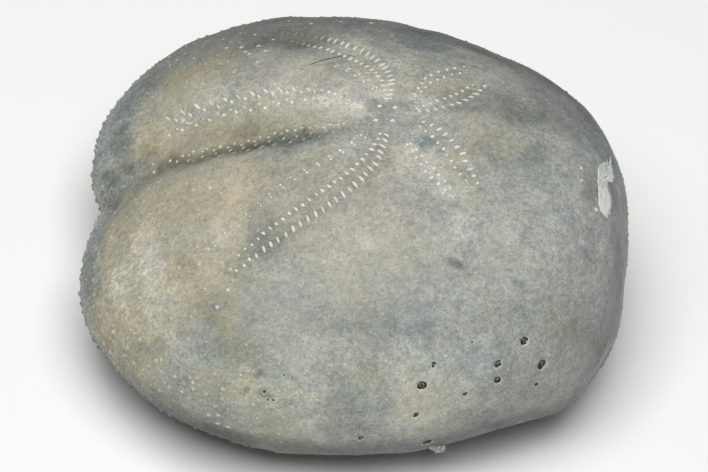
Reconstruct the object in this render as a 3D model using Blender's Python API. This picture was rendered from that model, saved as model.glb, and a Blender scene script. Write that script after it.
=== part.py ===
"""A fossil heart urchin: one closed stone solid, about 43 mm long, 42 mm wide and 24 mm high.

The test is a sphere of quads whose vertices are moved by a formula: a rounded plan that narrows to
the rear, a domed top that falls away to the front, a blunt rear wall and a flat resting face. Relief
is then added along the normals: the front groove with its crease, the rear keel, the petals, low
swells round the rim, the mouth and the smooth bands beside the plastron. Tubercles, pores, pits and
the crystal crumb are small faces that are inset and poked, so they are one body with the shell.

Metres, +Z up. The front groove points to -X. The origin ends below the middle of the bounding box.
"""
import math
import random

import bmesh
import bpy
from mathutils import Vector
from mathutils.kdtree import KDTree

COLLECTION = "fossil_heart_urchin"
NODE = "urchin_test"

# body: plan, profile and rear wall
HALF_LENGTH = 0.0230
HALF_WIDTH = 0.0205
TOP_HEIGHT = 0.02339
AMBITUS_HEIGHT = 0.01002
PLAN_POWER = 2.253
UPPER_POWER = 2.21
LOWER_POWER = 2.836
TAPER = 0.201
TOP_TILT = 0.081
FRONT_FALL = 0.476
REAR_WALL_X = 0.02219
REAR_WALL_LEAN = 0.133
REAR_SOFTNESS = 0.00233
FACET_HEIGHT = 0.00032

# front groove, rear keel and the flattened shoulder
GROOVE_DEPTH = 0.00203
GROOVE_FADE = 1.1
GROOVE_WIDTH_TOP = 0.0022
GROOVE_WIDTH_RIM = 0.0044
GROOVE_BOW = 0.00065
GROOVE_RIM_Y = 0.00045
KEEL_HEIGHT = 0.00070
KEEL_X = 0.010
KEEL_LENGTH = 0.007
KEEL_NEAR_WIDTH = 0.003
KEEL_FAR_WIDTH = 0.0022
SHOULDER = Vector((0.008, 0.017, 0.016))
SHOULDER_RADIUS = 0.009
SHOULDER_DIP = 0.00035

# crease at the foot of the groove's near wall: (length in front of the apex, y, depth)
CREASE = (
    (0.0015, -0.00120, 0.0), (0.0030, -0.00160, 0.00010), (0.0050, -0.00215, 0.00028),
    (0.0070, -0.00245, 0.00036), (0.0090, -0.00245, 0.00036), (0.0110, -0.00225, 0.00032),
    (0.0130, -0.00195, 0.00032), (0.0150, -0.00135, 0.00038), (0.0170, -0.00040, 0.00052),
    (0.0185, 0.00010, 0.00065), (0.0200, -0.00030, 0.00075), (0.0215, -0.00100, 0.00075),
)
CREASE_STEEP_WIDTH = 0.00075
CREASE_FLAT_WIDTH = 0.0016

# low swells and flats round the rim: (x, y, z, rise)
SWELL_REACH = 0.005
SWELLS = (
    (-0.0227, -0.0047, 0.0104, -0.00047), (-0.0224, 0.0037, 0.0063, 0.00008),
    (-0.0209, 0.0108, 0.0116, -0.00048), (-0.0185, 0.0148, 0.0121, 0.00009),
    (-0.0146, 0.0171, 0.0140, -0.00020), (-0.0059, 0.0174, 0.0176, -0.00025),
    (0.0029, 0.0153, 0.0194, -0.00017), (0.0076, 0.0142, 0.0193, 0.00034),
    (0.0114, 0.0116, 0.0199, -0.00030), (0.0156, 0.0098, 0.0185, 0.00044),
    (0.0184, 0.0061, 0.0177, -0.00016), (0.0203, 0.0031, 0.0142, 0.00010),
    (0.0209, -0.0002, 0.0110, -0.00019), (0.0209, -0.0039, 0.0077, 0.00005),
    (0.0194, -0.0081, 0.0056, -0.00024), (0.0163, -0.0117, 0.0047, 0.00010),
    (0.0125, -0.0147, 0.0047, -0.00035), (0.0080, -0.0163, 0.0039, -0.00013),
    (-0.0151, -0.0167, 0.0047, -0.00037), (-0.0189, -0.0140, 0.0061, 0.00009),
    (-0.0211, -0.0096, 0.0062, -0.00014),
)

# underside: mouth, lip and the two smooth bands beside the plastron
MOUTH_X = -0.0108
MOUTH_Y = 0.0004
MOUTH_LENGTH = 0.0019
MOUTH_WIDTH = 0.0029
MOUTH_DEPTH = 0.0021
BAND_Y = 0.0078
BAND_WIDTH = 0.0017
BAND_FRONT = -0.008
BAND_REAR = 0.015
BAND_DEPTH = 0.00045

# a pore row is (first radius, last radius, end angle, sweep, sweep length): it leaves the apex at
# end angle + sweep and turns towards the end angle, in degrees from the front
FRONT_HIND_OUTER = (0.0036, 0.0177, 50.0, 43.0, 0.0078)
FRONT_HIND_INNER = (0.0030, 0.0169, 52.0, 33.0, 0.0060)
FRONT_FORE = (0.0045, 0.0185, 44.5, 6.0, 0.0100)
REAR_HIND_OUTER = (0.0040, 0.0102, 136.0, 26.0, 0.0033)
REAR_HIND_INNER = (0.0034, 0.0092, 135.0, 16.0, 0.0030)
REAR_FORE_OUTER = (0.0043, 0.0103, 127.5, -8.0, 0.0040)
REAR_FORE_INNER = (0.0056, 0.0102, 130.0, -6.0, 0.0040)
PETAL_ROWS = (FRONT_HIND_OUTER, FRONT_HIND_INNER, FRONT_FORE, REAR_HIND_OUTER, REAR_HIND_INNER,
              REAR_FORE_OUTER, REAR_FORE_INNER)
SUNK_ROWS = ((FRONT_HIND_INNER, 0.0019), (REAR_HIND_INNER, 0.0014))
PETAL_SINK = 0.00022
GROOVE_ROW_OFFSETS = (0.0013, 0.0027)
GROOVE_ROW_SPREAD = 0.0012
GROOVE_ROW_X = (-0.0034, -0.0168)
PORE_PITCH = 0.00115
PORE_DEPTH = 0.00022
PORE_RIM = 0.00012

# anus on the rear shoulder, under its white filling
ANUS = Vector((0.0178, -0.0012, 0.0196))
ANUS_HALF_WIDTH = 0.0013
ANUS_HALF_HEIGHT = 0.0028
ANUS_DEPTH = 0.00025

# weathered pits: where they are on the flank, and how wide
PITS = (
    (0.0126, -0.0151, 0.0148, 0.00066), (0.0108, -0.0165, 0.0138, 0.00060),
    (0.0111, -0.0167, 0.0122, 0.00060), (0.0143, -0.0147, 0.0121, 0.00090),
    (0.0142, -0.0149, 0.0105, 0.00040), (0.0060, -0.0183, 0.0145, 0.00040),
    (0.0051, -0.0190, 0.0127, 0.00070), (0.0050, -0.0193, 0.0097, 0.00045),
    (0.0087, -0.0179, 0.0115, 0.00035), (0.0012, -0.0201, 0.0073, 0.00045),
    (0.0065, -0.0182, 0.0059, 0.00070), (-0.0069, -0.0209, 0.0120, 0.00040),
)
PIT_DEPTH = 0.0004
CRUMB = Vector((0.0075, -0.0178, 0.0052))
CRUMB_WIDTH = 0.0011
CRUMB_HEIGHT = 0.0007

# mesh and the tubercles that stand on it
SEGMENTS = 78
RINGS = 40
UPPER_SHARE = 0.60
TUBERCLE_COUNT = 210
TUBERCLE_WIDTH = 0.0006
TUBERCLE_HEIGHT = 0.00017
TUBERCLE_ROOM = 1.3
FACET_NORMAL = -0.97
SEED = 7

STONE_COLOUR = (0.36, 0.35, 0.30, 1.0)
STONE_ROUGHNESS = 0.62


def clamp(value, low=0.0, high=1.0):
    """Keep a value between two limits."""
    return max(low, min(high, value))


def bump(distance, width):
    """A smooth hill: 1 at no distance, about 0.37 one width away."""
    return math.exp(-((distance / width) ** 2))


def super_radius(angle, power):
    """Radius at an angle of a rounded square: power 2 is a circle, more is squarer."""
    return (abs(math.cos(angle)) ** power + abs(math.sin(angle)) ** power) ** (-1.0 / power)


def soft_min(first, second, softness):
    """The smaller of two lengths, blended where they are alike."""
    return -softness * math.log(math.exp(-first / softness) + math.exp(-second / softness))


def body_point(azimuth, polar):
    """Bare form of the test at an azimuth from +X and a polar angle from the apex."""
    upper = polar < math.pi / 2
    ring = super_radius(polar, UPPER_POWER if upper else LOWER_POWER)
    out = ring * math.sin(polar) * super_radius(azimuth, PLAN_POWER)
    rise = ring * math.cos(polar)
    x = HALF_LENGTH * out * math.cos(azimuth)
    y = HALF_WIDTH * out * math.sin(azimuth) * (1.0 - TAPER * x / HALF_LENGTH)
    reach = TOP_HEIGHT - AMBITUS_HEIGHT if upper else AMBITUS_HEIGHT
    fall = FRONT_FALL * min(x, 0.0) ** 2 / (2.0 * HALF_LENGTH)
    z = AMBITUS_HEIGHT + reach * rise + max(rise, 0.0) * (TOP_TILT * x - fall)
    wall = REAR_WALL_X - REAR_WALL_LEAN * (z - AMBITUS_HEIGHT)
    return Vector((soft_min(x, wall, REAR_SOFTNESS), y, z))


def forwardness(x):
    """0 behind the apex, 1 at the front rim."""
    return clamp(-x / HALF_LENGTH)


def groove_middle(x):
    """Sideways place of the front groove's floor, which bows a little to one side."""
    front = forwardness(x)
    return GROOVE_BOW * math.sin(math.pi * front) + GROOVE_RIM_Y * front


def groove_relief(point):
    """The front groove: it widens and deepens from the apex to the rim."""
    front = forwardness(point.x)
    width = GROOVE_WIDTH_TOP + (GROOVE_WIDTH_RIM - GROOVE_WIDTH_TOP) * front
    return -GROOVE_DEPTH * front ** GROOVE_FADE * bump(point.y - groove_middle(point.x), width)


def crease_at(length):
    """Sideways place and depth of the crease at a length in front of the apex."""
    if length <= CREASE[0][0]:
        return CREASE[0][1:]
    for before, after in zip(CREASE, CREASE[1:]):
        if length <= after[0]:
            share = (length - before[0]) / (after[0] - before[0])
            return tuple(a + (b - a) * share for a, b in zip(before[1:], after[1:]))
    return CREASE[-1][1:]


def crease_relief(point):
    """A narrow crease in the groove, steeper on its near side."""
    middle, depth = crease_at(-point.x)
    away = point.y - middle
    width = CREASE_STEEP_WIDTH if away < 0.0 else CREASE_FLAT_WIDTH
    return -depth * bump(away, width)


def swell_relief(point):
    """Low swells and flats round the rim."""
    return sum(rise * bump((point - Vector((x, y, z))).length, SWELL_REACH) for x, y, z, rise in SWELLS)


def keel_relief(point):
    """The low rear keel and the flattened shoulder beside it."""
    above = clamp((point.z - AMBITUS_HEIGHT) / AMBITUS_HEIGHT * 2.0)
    width = KEEL_NEAR_WIDTH if point.y < 0.0 else KEEL_FAR_WIDTH
    keel = KEEL_HEIGHT * bump(point.y, width) * bump(point.x - KEEL_X, KEEL_LENGTH)
    return above * keel - SHOULDER_DIP * bump((point - SHOULDER).length, SHOULDER_RADIUS)


def row_angle(row, radius):
    """Angle from the front, in degrees, of a pore row at a radius from the apex."""
    first, _, end, sweep, length = row
    return end + sweep * math.exp(-(radius - first) / length)


def row_distance(row, point):
    """Distance on the plan from a point to a pore row, and how far along the row it lies (0 to 1)."""
    radius = math.hypot(point.x, point.y)
    angle = math.degrees(math.atan2(abs(point.y), -point.x))
    away = math.radians(angle - row_angle(row, max(radius, row[0]))) * radius
    return away, (radius - row[0]) / (row[1] - row[0])


def petal_relief(point):
    """The petals lie a little lower than the shell between them."""
    if point.z < AMBITUS_HEIGHT:
        return 0.0
    depth = 0.0
    for row, width in SUNK_ROWS:
        away, along = row_distance(row, point)
        ends = clamp(along * 4.0) * clamp((1.15 - along) * 4.0)
        depth += PETAL_SINK * ends * bump(away, width)
    return -depth


def anus_relief(point):
    """A shallow oval hollow on the rear shoulder."""
    if point.x < 0.0:
        return 0.0
    across = (point.y - ANUS.y) / ANUS_HALF_HEIGHT
    down = (point - Vector((ANUS.x, point.y, ANUS.z))).length / ANUS_HALF_WIDTH
    return -ANUS_DEPTH * math.exp(-(across ** 4) - down ** 4)


def underside_relief(point):
    """The mouth near the front and the smooth bands beside the plastron."""
    below = clamp((AMBITUS_HEIGHT - point.z) / AMBITUS_HEIGHT * 2.0)
    away_x = (point.x - MOUTH_X) / MOUTH_LENGTH
    away_y = (point.y - MOUTH_Y) / MOUTH_WIDTH
    mouth = MOUTH_DEPTH * math.exp(-(away_x ** 2 + away_y ** 2) ** 1.5)
    ends = clamp((point.x - BAND_FRONT) / 0.004) * clamp((BAND_REAR - point.x) / 0.004)
    band = BAND_DEPTH * ends * bump(abs(point.y) - BAND_Y, BAND_WIDTH)
    return -below * (mouth + band)


def relief(point):
    """Height of all the broad relief above the bare form."""
    broad = groove_relief(point) + crease_relief(point) + keel_relief(point) + petal_relief(point)
    return broad + swell_relief(point) + anus_relief(point) + underside_relief(point)


def polar_angle(ring_angle):
    """Spread the sphere's rings so that more of them lie on the upper side."""
    share = ring_angle / math.pi
    if share < UPPER_SHARE:
        return math.pi / 2 * share / UPPER_SHARE
    return math.pi / 2 + math.pi / 2 * (share - UPPER_SHARE) / (1.0 - UPPER_SHARE)


def shape_shell(bm):
    """Move the vertices of a unit sphere to the test's form, then add the relief."""
    for vert in bm.verts:
        ring_angle = math.acos(clamp(vert.co.z, -1.0, 1.0))
        vert.co = body_point(math.atan2(vert.co.y, vert.co.x), polar_angle(ring_angle))
    bm.normal_update()
    moves = [(vert, vert.normal * relief(vert.co)) for vert in bm.verts]
    for vert, move in moves:
        vert.co = vert.co + move
        vert.co.z = max(vert.co.z, FACET_HEIGHT)
    bm.normal_update()


def on_plan(radius, degrees, side):
    """A point of the plan at a radius and an angle from the front, on one side."""
    angle = math.radians(degrees)
    return -radius * math.cos(angle), side * radius * math.sin(angle)


def pore_places():
    """Plan places of the pores: the petals' rows on both sides, and the front groove's rows."""
    places = []
    for row in PETAL_ROWS:
        count = int((row[1] - row[0]) / PORE_PITCH)
        for step in range(count + 1):
            radius = row[0] + step * PORE_PITCH
            places += [on_plan(radius, row_angle(row, radius), side) for side in (-1, 1)]
    start, end = GROOVE_ROW_X
    count = int((start - end) / PORE_PITCH)
    for step in range(count + 1):
        x = start - step * PORE_PITCH
        spread = 1.0 + GROOVE_ROW_SPREAD * forwardness(x) / GROOVE_ROW_OFFSETS[0]
        for offset in GROOVE_ROW_OFFSETS:
            places += [(x, groove_middle(x) + side * offset * spread) for side in (-1, 1)]
    return places


def nearest_faces(bm, points, flat=False):
    """The face nearest to each point, each face once; flat compares the upper side on the plan."""
    faces = [face for face in bm.faces if not flat or face.normal.z > 0.2]
    tree = KDTree(len(faces))
    for index, face in enumerate(faces):
        middle = face.calc_center_median()
        tree.insert((middle.x, middle.y, 0.0) if flat else middle, index)
    tree.balance()
    found = [tree.find(point)[1] for point in points]
    return [faces[index] for index in dict.fromkeys(found)]


def raise_faces(bm, faces, rim, height):
    """Inset each face by a rim and poke it to a point: up if height is positive, down if not."""
    bmesh.ops.inset_individual(bm, faces=faces, thickness=rim, use_even_offset=True)
    bmesh.ops.poke(bm, faces=faces, offset=height)


def face_width(face):
    """The shorter side of a quad."""
    return min(edge.calc_length() for edge in face.edges)


def sink_pores(bm):
    """Rows of small hollows along the ambulacra."""
    points = [(x, y, 0.0) for x, y in pore_places()]
    faces = [face for face in nearest_faces(bm, points, flat=True) if len(face.verts) == 4]
    raise_faces(bm, faces, PORE_RIM, -PORE_DEPTH)
    return faces


def sink_pits(bm):
    """Weathered pits in the flank, each as wide as listed, and the crumb of crystal by one of them."""
    for x, y, z, width in PITS:
        face = nearest_faces(bm, [Vector((x, y, z))])[0]
        raise_faces(bm, [face], (face_width(face) - width) / 2, -PIT_DEPTH)
    face = nearest_faces(bm, [CRUMB])[0]
    raise_faces(bm, [face], (face_width(face) - CRUMB_WIDTH) / 2, CRUMB_HEIGHT)


def on_smooth_underside(point):
    """True in the mouth and on the bands beside the plastron, which carry no tubercles."""
    if point.z > AMBITUS_HEIGHT / 2:
        return False
    band = abs(abs(point.y) - BAND_Y) < BAND_WIDTH and BAND_FRONT < point.x < BAND_REAR
    mouth = math.hypot(point.x - MOUTH_X, point.y - MOUTH_Y) < 1.5 * MOUTH_WIDTH
    return band or mouth


def tubercle_weight(face):
    """How likely a face is to carry a tubercle: most near the rim and in front, few on the top."""
    middle = face.calc_center_median()
    if face.normal.z < FACET_NORMAL or len(face.verts) != 4:
        return 0.0
    if face_width(face) < TUBERCLE_ROOM * TUBERCLE_WIDTH or on_smooth_underside(middle):
        return 0.0
    steep = 1.0 - max(face.normal.z, 0.0)
    return steep ** 2 * (0.4 + 0.6 * clamp(0.5 - middle.x / HALF_LENGTH))


def raise_tubercles(bm, taken):
    """Small points on faces picked at random, each with its own rim so that all are alike."""
    rng = random.Random(SEED)
    free = [face for face in bm.faces if face not in taken]
    order = []
    for face in free:
        weight = tubercle_weight(face)
        if weight > 0.0:
            order.append((rng.random() ** (1.0 / weight), face))
    order.sort(key=lambda pair: pair[0], reverse=True)
    for _, face in order[:TUBERCLE_COUNT]:
        rim = (face_width(face) - TUBERCLE_WIDTH) / 2
        raise_faces(bm, [face], rim, TUBERCLE_HEIGHT)


def centre_on_box(bm):
    """Put the origin below the middle of the bounding box, at the height of the resting face."""
    xs = [vert.co.x for vert in bm.verts]
    ys = [vert.co.y for vert in bm.verts]
    shift = Vector(((min(xs) + max(xs)) / 2, (min(ys) + max(ys)) / 2, FACET_HEIGHT))
    bmesh.ops.translate(bm, verts=bm.verts, vec=-shift)


def stone_material():
    """Grey-beige limestone."""
    material = bpy.data.materials.new("stone")
    material.use_nodes = True
    shader = material.node_tree.nodes["Principled BSDF"]
    shader.inputs["Base Color"].default_value = STONE_COLOUR
    shader.inputs["Roughness"].default_value = STONE_ROUGHNESS
    shader.inputs["Metallic"].default_value = 0.0
    return material


def make_test():
    """Build the mesh of the test, one closed body."""
    bm = bmesh.new()
    bmesh.ops.create_uvsphere(bm, u_segments=SEGMENTS, v_segments=RINGS, radius=1.0)
    shape_shell(bm)
    pores = set(sink_pores(bm))
    sink_pits(bm)
    raise_tubercles(bm, pores)
    bmesh.ops.triangulate(bm, faces=bm.faces)
    centre_on_box(bm)
    bm.normal_update()
    mesh = bpy.data.meshes.new(NODE)
    bm.to_mesh(mesh)
    bm.free()
    mesh.materials.append(stone_material())
    return mesh


def main():
    """Clear the scene and put the urchin in its own collection."""
    for old in list(bpy.data.objects):
        bpy.data.objects.remove(old)
    collection = bpy.data.collections.new(COLLECTION)
    bpy.context.scene.collection.children.link(collection)
    collection.objects.link(bpy.data.objects.new(NODE, make_test()))


main()
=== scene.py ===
# %% [markdown]
# # A fossil heart urchin
# A heart urchin is a burrowing sea urchin. What is left of it here is the test, its shell of calcite
# plates, turned to grey-beige stone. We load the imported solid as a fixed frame, then dress it with a
# fine surface that follows the same formula, and add what is too small for the solid: tubercles,
# pores, weathered pits and a pale filling.

# %% Load the frame
import math

import bpy
import numpy as np
from mathutils import Matrix, Vector


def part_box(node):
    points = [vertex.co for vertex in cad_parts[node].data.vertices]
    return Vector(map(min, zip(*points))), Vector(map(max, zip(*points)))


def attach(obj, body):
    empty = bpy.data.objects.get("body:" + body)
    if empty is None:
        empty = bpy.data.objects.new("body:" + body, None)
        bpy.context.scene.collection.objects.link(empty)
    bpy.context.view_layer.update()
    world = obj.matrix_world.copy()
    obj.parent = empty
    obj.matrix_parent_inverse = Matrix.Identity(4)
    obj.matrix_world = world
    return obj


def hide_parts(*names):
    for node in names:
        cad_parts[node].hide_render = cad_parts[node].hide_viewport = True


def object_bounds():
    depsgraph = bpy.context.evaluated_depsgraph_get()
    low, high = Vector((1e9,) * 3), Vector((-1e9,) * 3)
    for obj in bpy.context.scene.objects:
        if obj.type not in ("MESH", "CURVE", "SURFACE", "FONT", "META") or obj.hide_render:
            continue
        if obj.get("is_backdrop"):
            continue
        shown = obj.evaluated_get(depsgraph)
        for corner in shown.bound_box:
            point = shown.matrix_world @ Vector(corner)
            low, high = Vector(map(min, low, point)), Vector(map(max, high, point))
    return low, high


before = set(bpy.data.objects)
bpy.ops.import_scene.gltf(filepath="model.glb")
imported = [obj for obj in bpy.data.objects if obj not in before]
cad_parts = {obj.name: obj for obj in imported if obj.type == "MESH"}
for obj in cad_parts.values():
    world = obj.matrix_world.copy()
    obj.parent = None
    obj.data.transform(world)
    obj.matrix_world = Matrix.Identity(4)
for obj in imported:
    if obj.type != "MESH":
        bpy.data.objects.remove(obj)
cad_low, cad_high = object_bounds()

MM = 0.001
NODE = "urchin_test"
box_low, box_high = (np.array(corner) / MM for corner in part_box(NODE))
print("solid test, mm:", np.round(box_high - box_low, 2))

# %% [markdown]
# ## The form of the test
# The test is a rounded solid with a flat underside. One could sculpt it, but a formula is shorter and
# can be asked for any point: a plan that is a rounded square narrowing to the rear, a profile that is
# domed above and flatter below, a fall towards the front and a blunt rear wall. Lengths are in
# millimetres; the front is at -X and the apex is above the origin.

# %% Driving sizes of the form
HALF_LENGTH = 23.0
HALF_WIDTH = 20.5
TOP_HEIGHT = 23.39
AMBITUS_HEIGHT = 10.02
PLAN_POWER = 2.253
UPPER_POWER = 2.21
LOWER_POWER = 2.836
TAPER = 0.201
TOP_TILT = 0.081
FRONT_FALL = 0.476
REAR_WALL_X = 22.19
REAR_WALL_LEAN = 0.133
REAR_SOFTNESS = 2.33
FACET_HEIGHT = 0.32


# %% The bare form
def super_radius(angle, power):
    """Radius of a rounded square: (|cos|^power + |sin|^power) ^ (-1/power)."""
    return (np.abs(np.cos(angle)) ** power + np.abs(np.sin(angle)) ** power) ** (-1.0 / power)


def soft_min(first, second, softness):
    """The smaller of two lengths, blended: -s log(e^(-a/s) + e^(-b/s))."""
    return -softness * np.logaddexp(-first / softness, -second / softness)


def bare_form(azimuth, polar):
    """Point of the test at an azimuth from +X and a polar angle from the apex.

    Plan and profile are rounded squares; the width shrinks with x, the top is tilted and falls with
    x squared in front, and x is held behind a leaning rear wall by a soft minimum.
    """
    upper = polar < np.pi / 2
    ring = np.where(upper, super_radius(polar, UPPER_POWER), super_radius(polar, LOWER_POWER))
    out = ring * np.sin(polar) * super_radius(azimuth, PLAN_POWER)
    rise = ring * np.cos(polar)
    x = HALF_LENGTH * out * np.cos(azimuth)
    y = HALF_WIDTH * out * np.sin(azimuth) * (1.0 - TAPER * x / HALF_LENGTH)
    reach = np.where(upper, TOP_HEIGHT - AMBITUS_HEIGHT, AMBITUS_HEIGHT)
    fall = FRONT_FALL * np.minimum(x, 0.0) ** 2 / (2.0 * HALF_LENGTH)
    z = AMBITUS_HEIGHT + reach * rise + np.maximum(rise, 0.0) * (TOP_TILT * x - fall)
    wall = REAR_WALL_X - REAR_WALL_LEAN * (z - AMBITUS_HEIGHT)
    return np.stack([soft_min(x, wall, REAR_SOFTNESS), y, z], axis=-1)


# %% [markdown]
# ## Broad relief
# On the bare form lie the front groove, the rear keel, the sunken petals, the mouth with the smooth
# bands behind it, and slow waves left by growth and by pressure in the rock. Each is a height along
# the normal, so they can simply be added up.

# %% Sizes of the broad relief
GROOVE_DEPTH = 2.03
GROOVE_FADE = 1.1
GROOVE_WIDTH_TOP = 2.2
GROOVE_WIDTH_RIM = 4.4
GROOVE_BOW = 0.65
GROOVE_RIM_Y = 0.45
CREASE_X = (1.5, 3.0, 5.0, 7.0, 9.0, 11.0, 13.0, 15.0, 17.0, 18.5, 20.0, 21.5)
CREASE_Y = (-1.2, -1.6, -2.15, -2.45, -2.45, -2.25, -1.95, -1.35, -0.4, 0.1, -0.3, -1.0)
CREASE_DEPTH = (0.0, 0.10, 0.28, 0.36, 0.36, 0.32, 0.32, 0.38, 0.52, 0.65, 0.75, 0.75)
CREASE_WIDTHS = (0.75, 1.6)
KEEL_HEIGHT = 0.70
KEEL_X = 10.0
KEEL_LENGTH = 7.0
KEEL_WIDTHS = (3.0, 2.2)
SHOULDER = np.array([8.0, 17.0, 16.0])
SHOULDER_RADIUS = 9.0
SHOULDER_DIP = 0.35
MOUTH_X, MOUTH_Y = -10.8, 0.4
MOUTH_LENGTH, MOUTH_WIDTH, MOUTH_DEPTH = 1.9, 2.9, 2.1
BAND_Y, BAND_WIDTH, BAND_DEPTH = 7.8, 1.7, 0.45
BAND_FRONT, BAND_REAR = -8.0, 15.0
WAVE_HEIGHT = 0.24
SWELL_REACH = 5.0
SWELLS = np.array([
    (-22.7, -4.7, 10.4, -0.47), (-22.4, 3.7, 6.3, 0.08), (-20.9, 10.8, 11.6, -0.48),
    (-18.5, 14.8, 12.1, 0.09), (-14.6, 17.1, 14.0, -0.20), (-5.9, 17.4, 17.6, -0.25),
    (2.9, 15.3, 19.4, -0.17), (7.6, 14.2, 19.3, 0.34), (11.4, 11.6, 19.9, -0.30),
    (15.6, 9.8, 18.5, 0.44), (18.4, 6.1, 17.7, -0.16), (20.3, 3.1, 14.2, 0.10),
    (20.9, -0.2, 11.0, -0.19), (20.9, -3.9, 7.7, 0.05), (19.4, -8.1, 5.6, -0.24),
    (16.3, -11.7, 4.7, 0.10), (12.5, -14.7, 4.7, -0.35), (8.0, -16.3, 3.9, -0.13),
    (-15.1, -16.7, 4.7, -0.37), (-18.9, -14.0, 6.1, 0.09), (-21.1, -9.6, 6.2, -0.14),
])


# %% Relief functions
def hill(distance, width):
    """A smooth hill, e^-(distance/width)^2."""
    return np.exp(-((distance / width) ** 2))


def forwardness(x):
    """0 behind the apex, 1 at the front rim."""
    return np.clip(-x / HALF_LENGTH, 0.0, 1.0)


def groove_middle(x):
    """Sideways place of the front groove's floor: bow sin(pi f) + rim f."""
    front = forwardness(x)
    return GROOVE_BOW * np.sin(np.pi * front) + GROOVE_RIM_Y * front


def groove_relief(p):
    """The front groove, a trough that widens and deepens from the apex to the rim, and its crease.

    The crease runs at the foot of the near wall: a hollow that is steep on the wall's side.
    """
    x, y = p[..., 0], p[..., 1]
    front = forwardness(x)
    width = GROOVE_WIDTH_TOP + (GROOVE_WIDTH_RIM - GROOVE_WIDTH_TOP) * front
    trough = GROOVE_DEPTH * front ** GROOVE_FADE * hill(y - groove_middle(x), width)
    away = y - np.interp(-x, CREASE_X, CREASE_Y)
    steep = hill(away, np.where(away < 0.0, CREASE_WIDTHS[0], CREASE_WIDTHS[1]))
    return -trough - np.interp(-x, CREASE_X, CREASE_DEPTH) * steep


def keel_relief(p):
    """A low ridge behind the apex, steeper on its far side, and the flattened shoulder beside it."""
    above = np.clip((p[..., 2] - AMBITUS_HEIGHT) / AMBITUS_HEIGHT * 2.0, 0.0, 1.0)
    width = np.where(p[..., 1] < 0.0, KEEL_WIDTHS[0], KEEL_WIDTHS[1])
    keel = KEEL_HEIGHT * hill(p[..., 1], width) * hill(p[..., 0] - KEEL_X, KEEL_LENGTH)
    away = np.linalg.norm(p - SHOULDER, axis=-1)
    return above * keel - SHOULDER_DIP * hill(away, SHOULDER_RADIUS)


def swell_relief(p):
    """Low swells and flats round the rim, each a rise x hill(distance, reach)."""
    away = np.linalg.norm(p[..., None, :] - SWELLS[:, :3], axis=-1)
    return hill(away, SWELL_REACH) @ SWELLS[:, 3]


def underside_relief(p):
    """The mouth, a soft oval hollow, and the two shallow bands beside the plastron."""
    below = np.clip((AMBITUS_HEIGHT - p[..., 2]) / AMBITUS_HEIGHT * 2.0, 0.0, 1.0)
    away_x = (p[..., 0] - MOUTH_X) / MOUTH_LENGTH
    away_y = (p[..., 1] - MOUTH_Y) / MOUTH_WIDTH
    mouth = MOUTH_DEPTH * np.exp(-((away_x ** 2 + away_y ** 2) ** 1.5))
    front_end = np.clip((p[..., 0] - BAND_FRONT) / 4.0, 0.0, 1.0)
    rear_end = np.clip((BAND_REAR - p[..., 0]) / 4.0, 0.0, 1.0)
    band = BAND_DEPTH * front_end * rear_end * hill(np.abs(p[..., 1]) - BAND_Y, BAND_WIDTH)
    return -below * (mouth + band)


# %% Waves
def wave_bank(seed, count, shortest, longest):
    """Random plane waves: their directions over length, their starts and their shares."""
    rng = np.random.default_rng(seed)
    way = rng.normal(size=(count, 3))
    way /= np.linalg.norm(way, axis=1, keepdims=True)
    length = np.exp(rng.uniform(np.log(shortest), np.log(longest), count))
    share = length / longest / math.sqrt(count)
    return way / length[:, None] * 2.0 * np.pi, rng.uniform(0.0, 2.0 * np.pi, count), share


def waves(bank, p, turn=0.0):
    """Sum of sin(way . p + start + turn) x share, roughly between -1 and 1."""
    way, start, share = bank
    return np.sin(p @ way.T + start + turn) @ share


slow_bank = wave_bank(3, 48, 3.0, 12.0)
outline_bank = wave_bank(4, 40, 1.0, 5.0)


# %% [markdown]
# ## Pore rows
# Five ambulacra leave the apex. Four are petals, each with a hind pair of rows of slit-like pores and
# a weaker front pair; the fifth runs down the front groove. A row is a curve on the plan, given by its
# angle from the front at a few radii. The near and the far petals are not quite mirror images, so
# each row has a near and a far set of angles.

# %% Row curves
ROW_RADII = (2.5, 4.0, 5.5, 7.0, 8.5, 10.0, 12.0, 14.0, 16.0, 18.0)
FRONT_HIND_OUTER = dict(
    first=(2.7, 1.9), last=(17.8, 17.4), worn=(2.0, 0.60),
    near=(95.0, 90.0, 85.0, 79.6, 74.5, 69.6, 63.9, 59.3, 56.2, 55.0),
    far=(97.0, 94.0, 88.9, 82.7, 76.3, 70.3, 64.5, 59.5, 56.2, 55.0))
FRONT_HIND_INNER = dict(
    first=(2.6, 1.8), last=(17.0, 16.6), worn=(2.0, 0.62),
    near=(85.5, 79.4, 73.8, 68.8, 64.4, 60.6, 56.6, 53.9, 52.5, 52.5),
    far=(87.7, 82.9, 76.9, 70.7, 65.1, 60.9, 56.6, 53.9, 52.5, 52.5))
FRONT_FORE = dict(
    first=(3.3, 3.1), last=(19.5, 19.5), worn=(0.85, 0.22),
    near=(65.5, 59.0, 54.2, 50.6, 48.1, 46.5, 45.4, 45.0, 44.9, 44.5),
    far=(73.0, 65.7, 61.0, 56.5, 52.5, 49.5, 47.0, 45.6, 45.0, 44.5))
REAR_HIND_OUTER = dict(
    first=(3.2, 2.6), last=(10.3, 9.3),
    near=(165.0, 161.5, 156.5, 150.1, 144.0, 140.1),
    far=(171.6, 169.4, 163.7, 156.3, 149.0, 143.0))
REAR_HIND_INNER = dict(
    first=(3.1, 2.5), last=(9.6, 9.1),
    near=(154.4, 150.1, 145.1, 140.5, 137.6, 137.3),
    far=(162.5, 153.6, 149.2, 146.0, 142.4, 140.0))
REAR_FORE_OUTER = dict(
    first=(4.0, 2.8), last=(10.3, 9.7),
    near=(118.5, 118.6, 119.1, 120.7, 123.1, 125.8),
    far=(135.0, 124.1, 120.9, 122.9, 127.2, 131.0))
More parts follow.
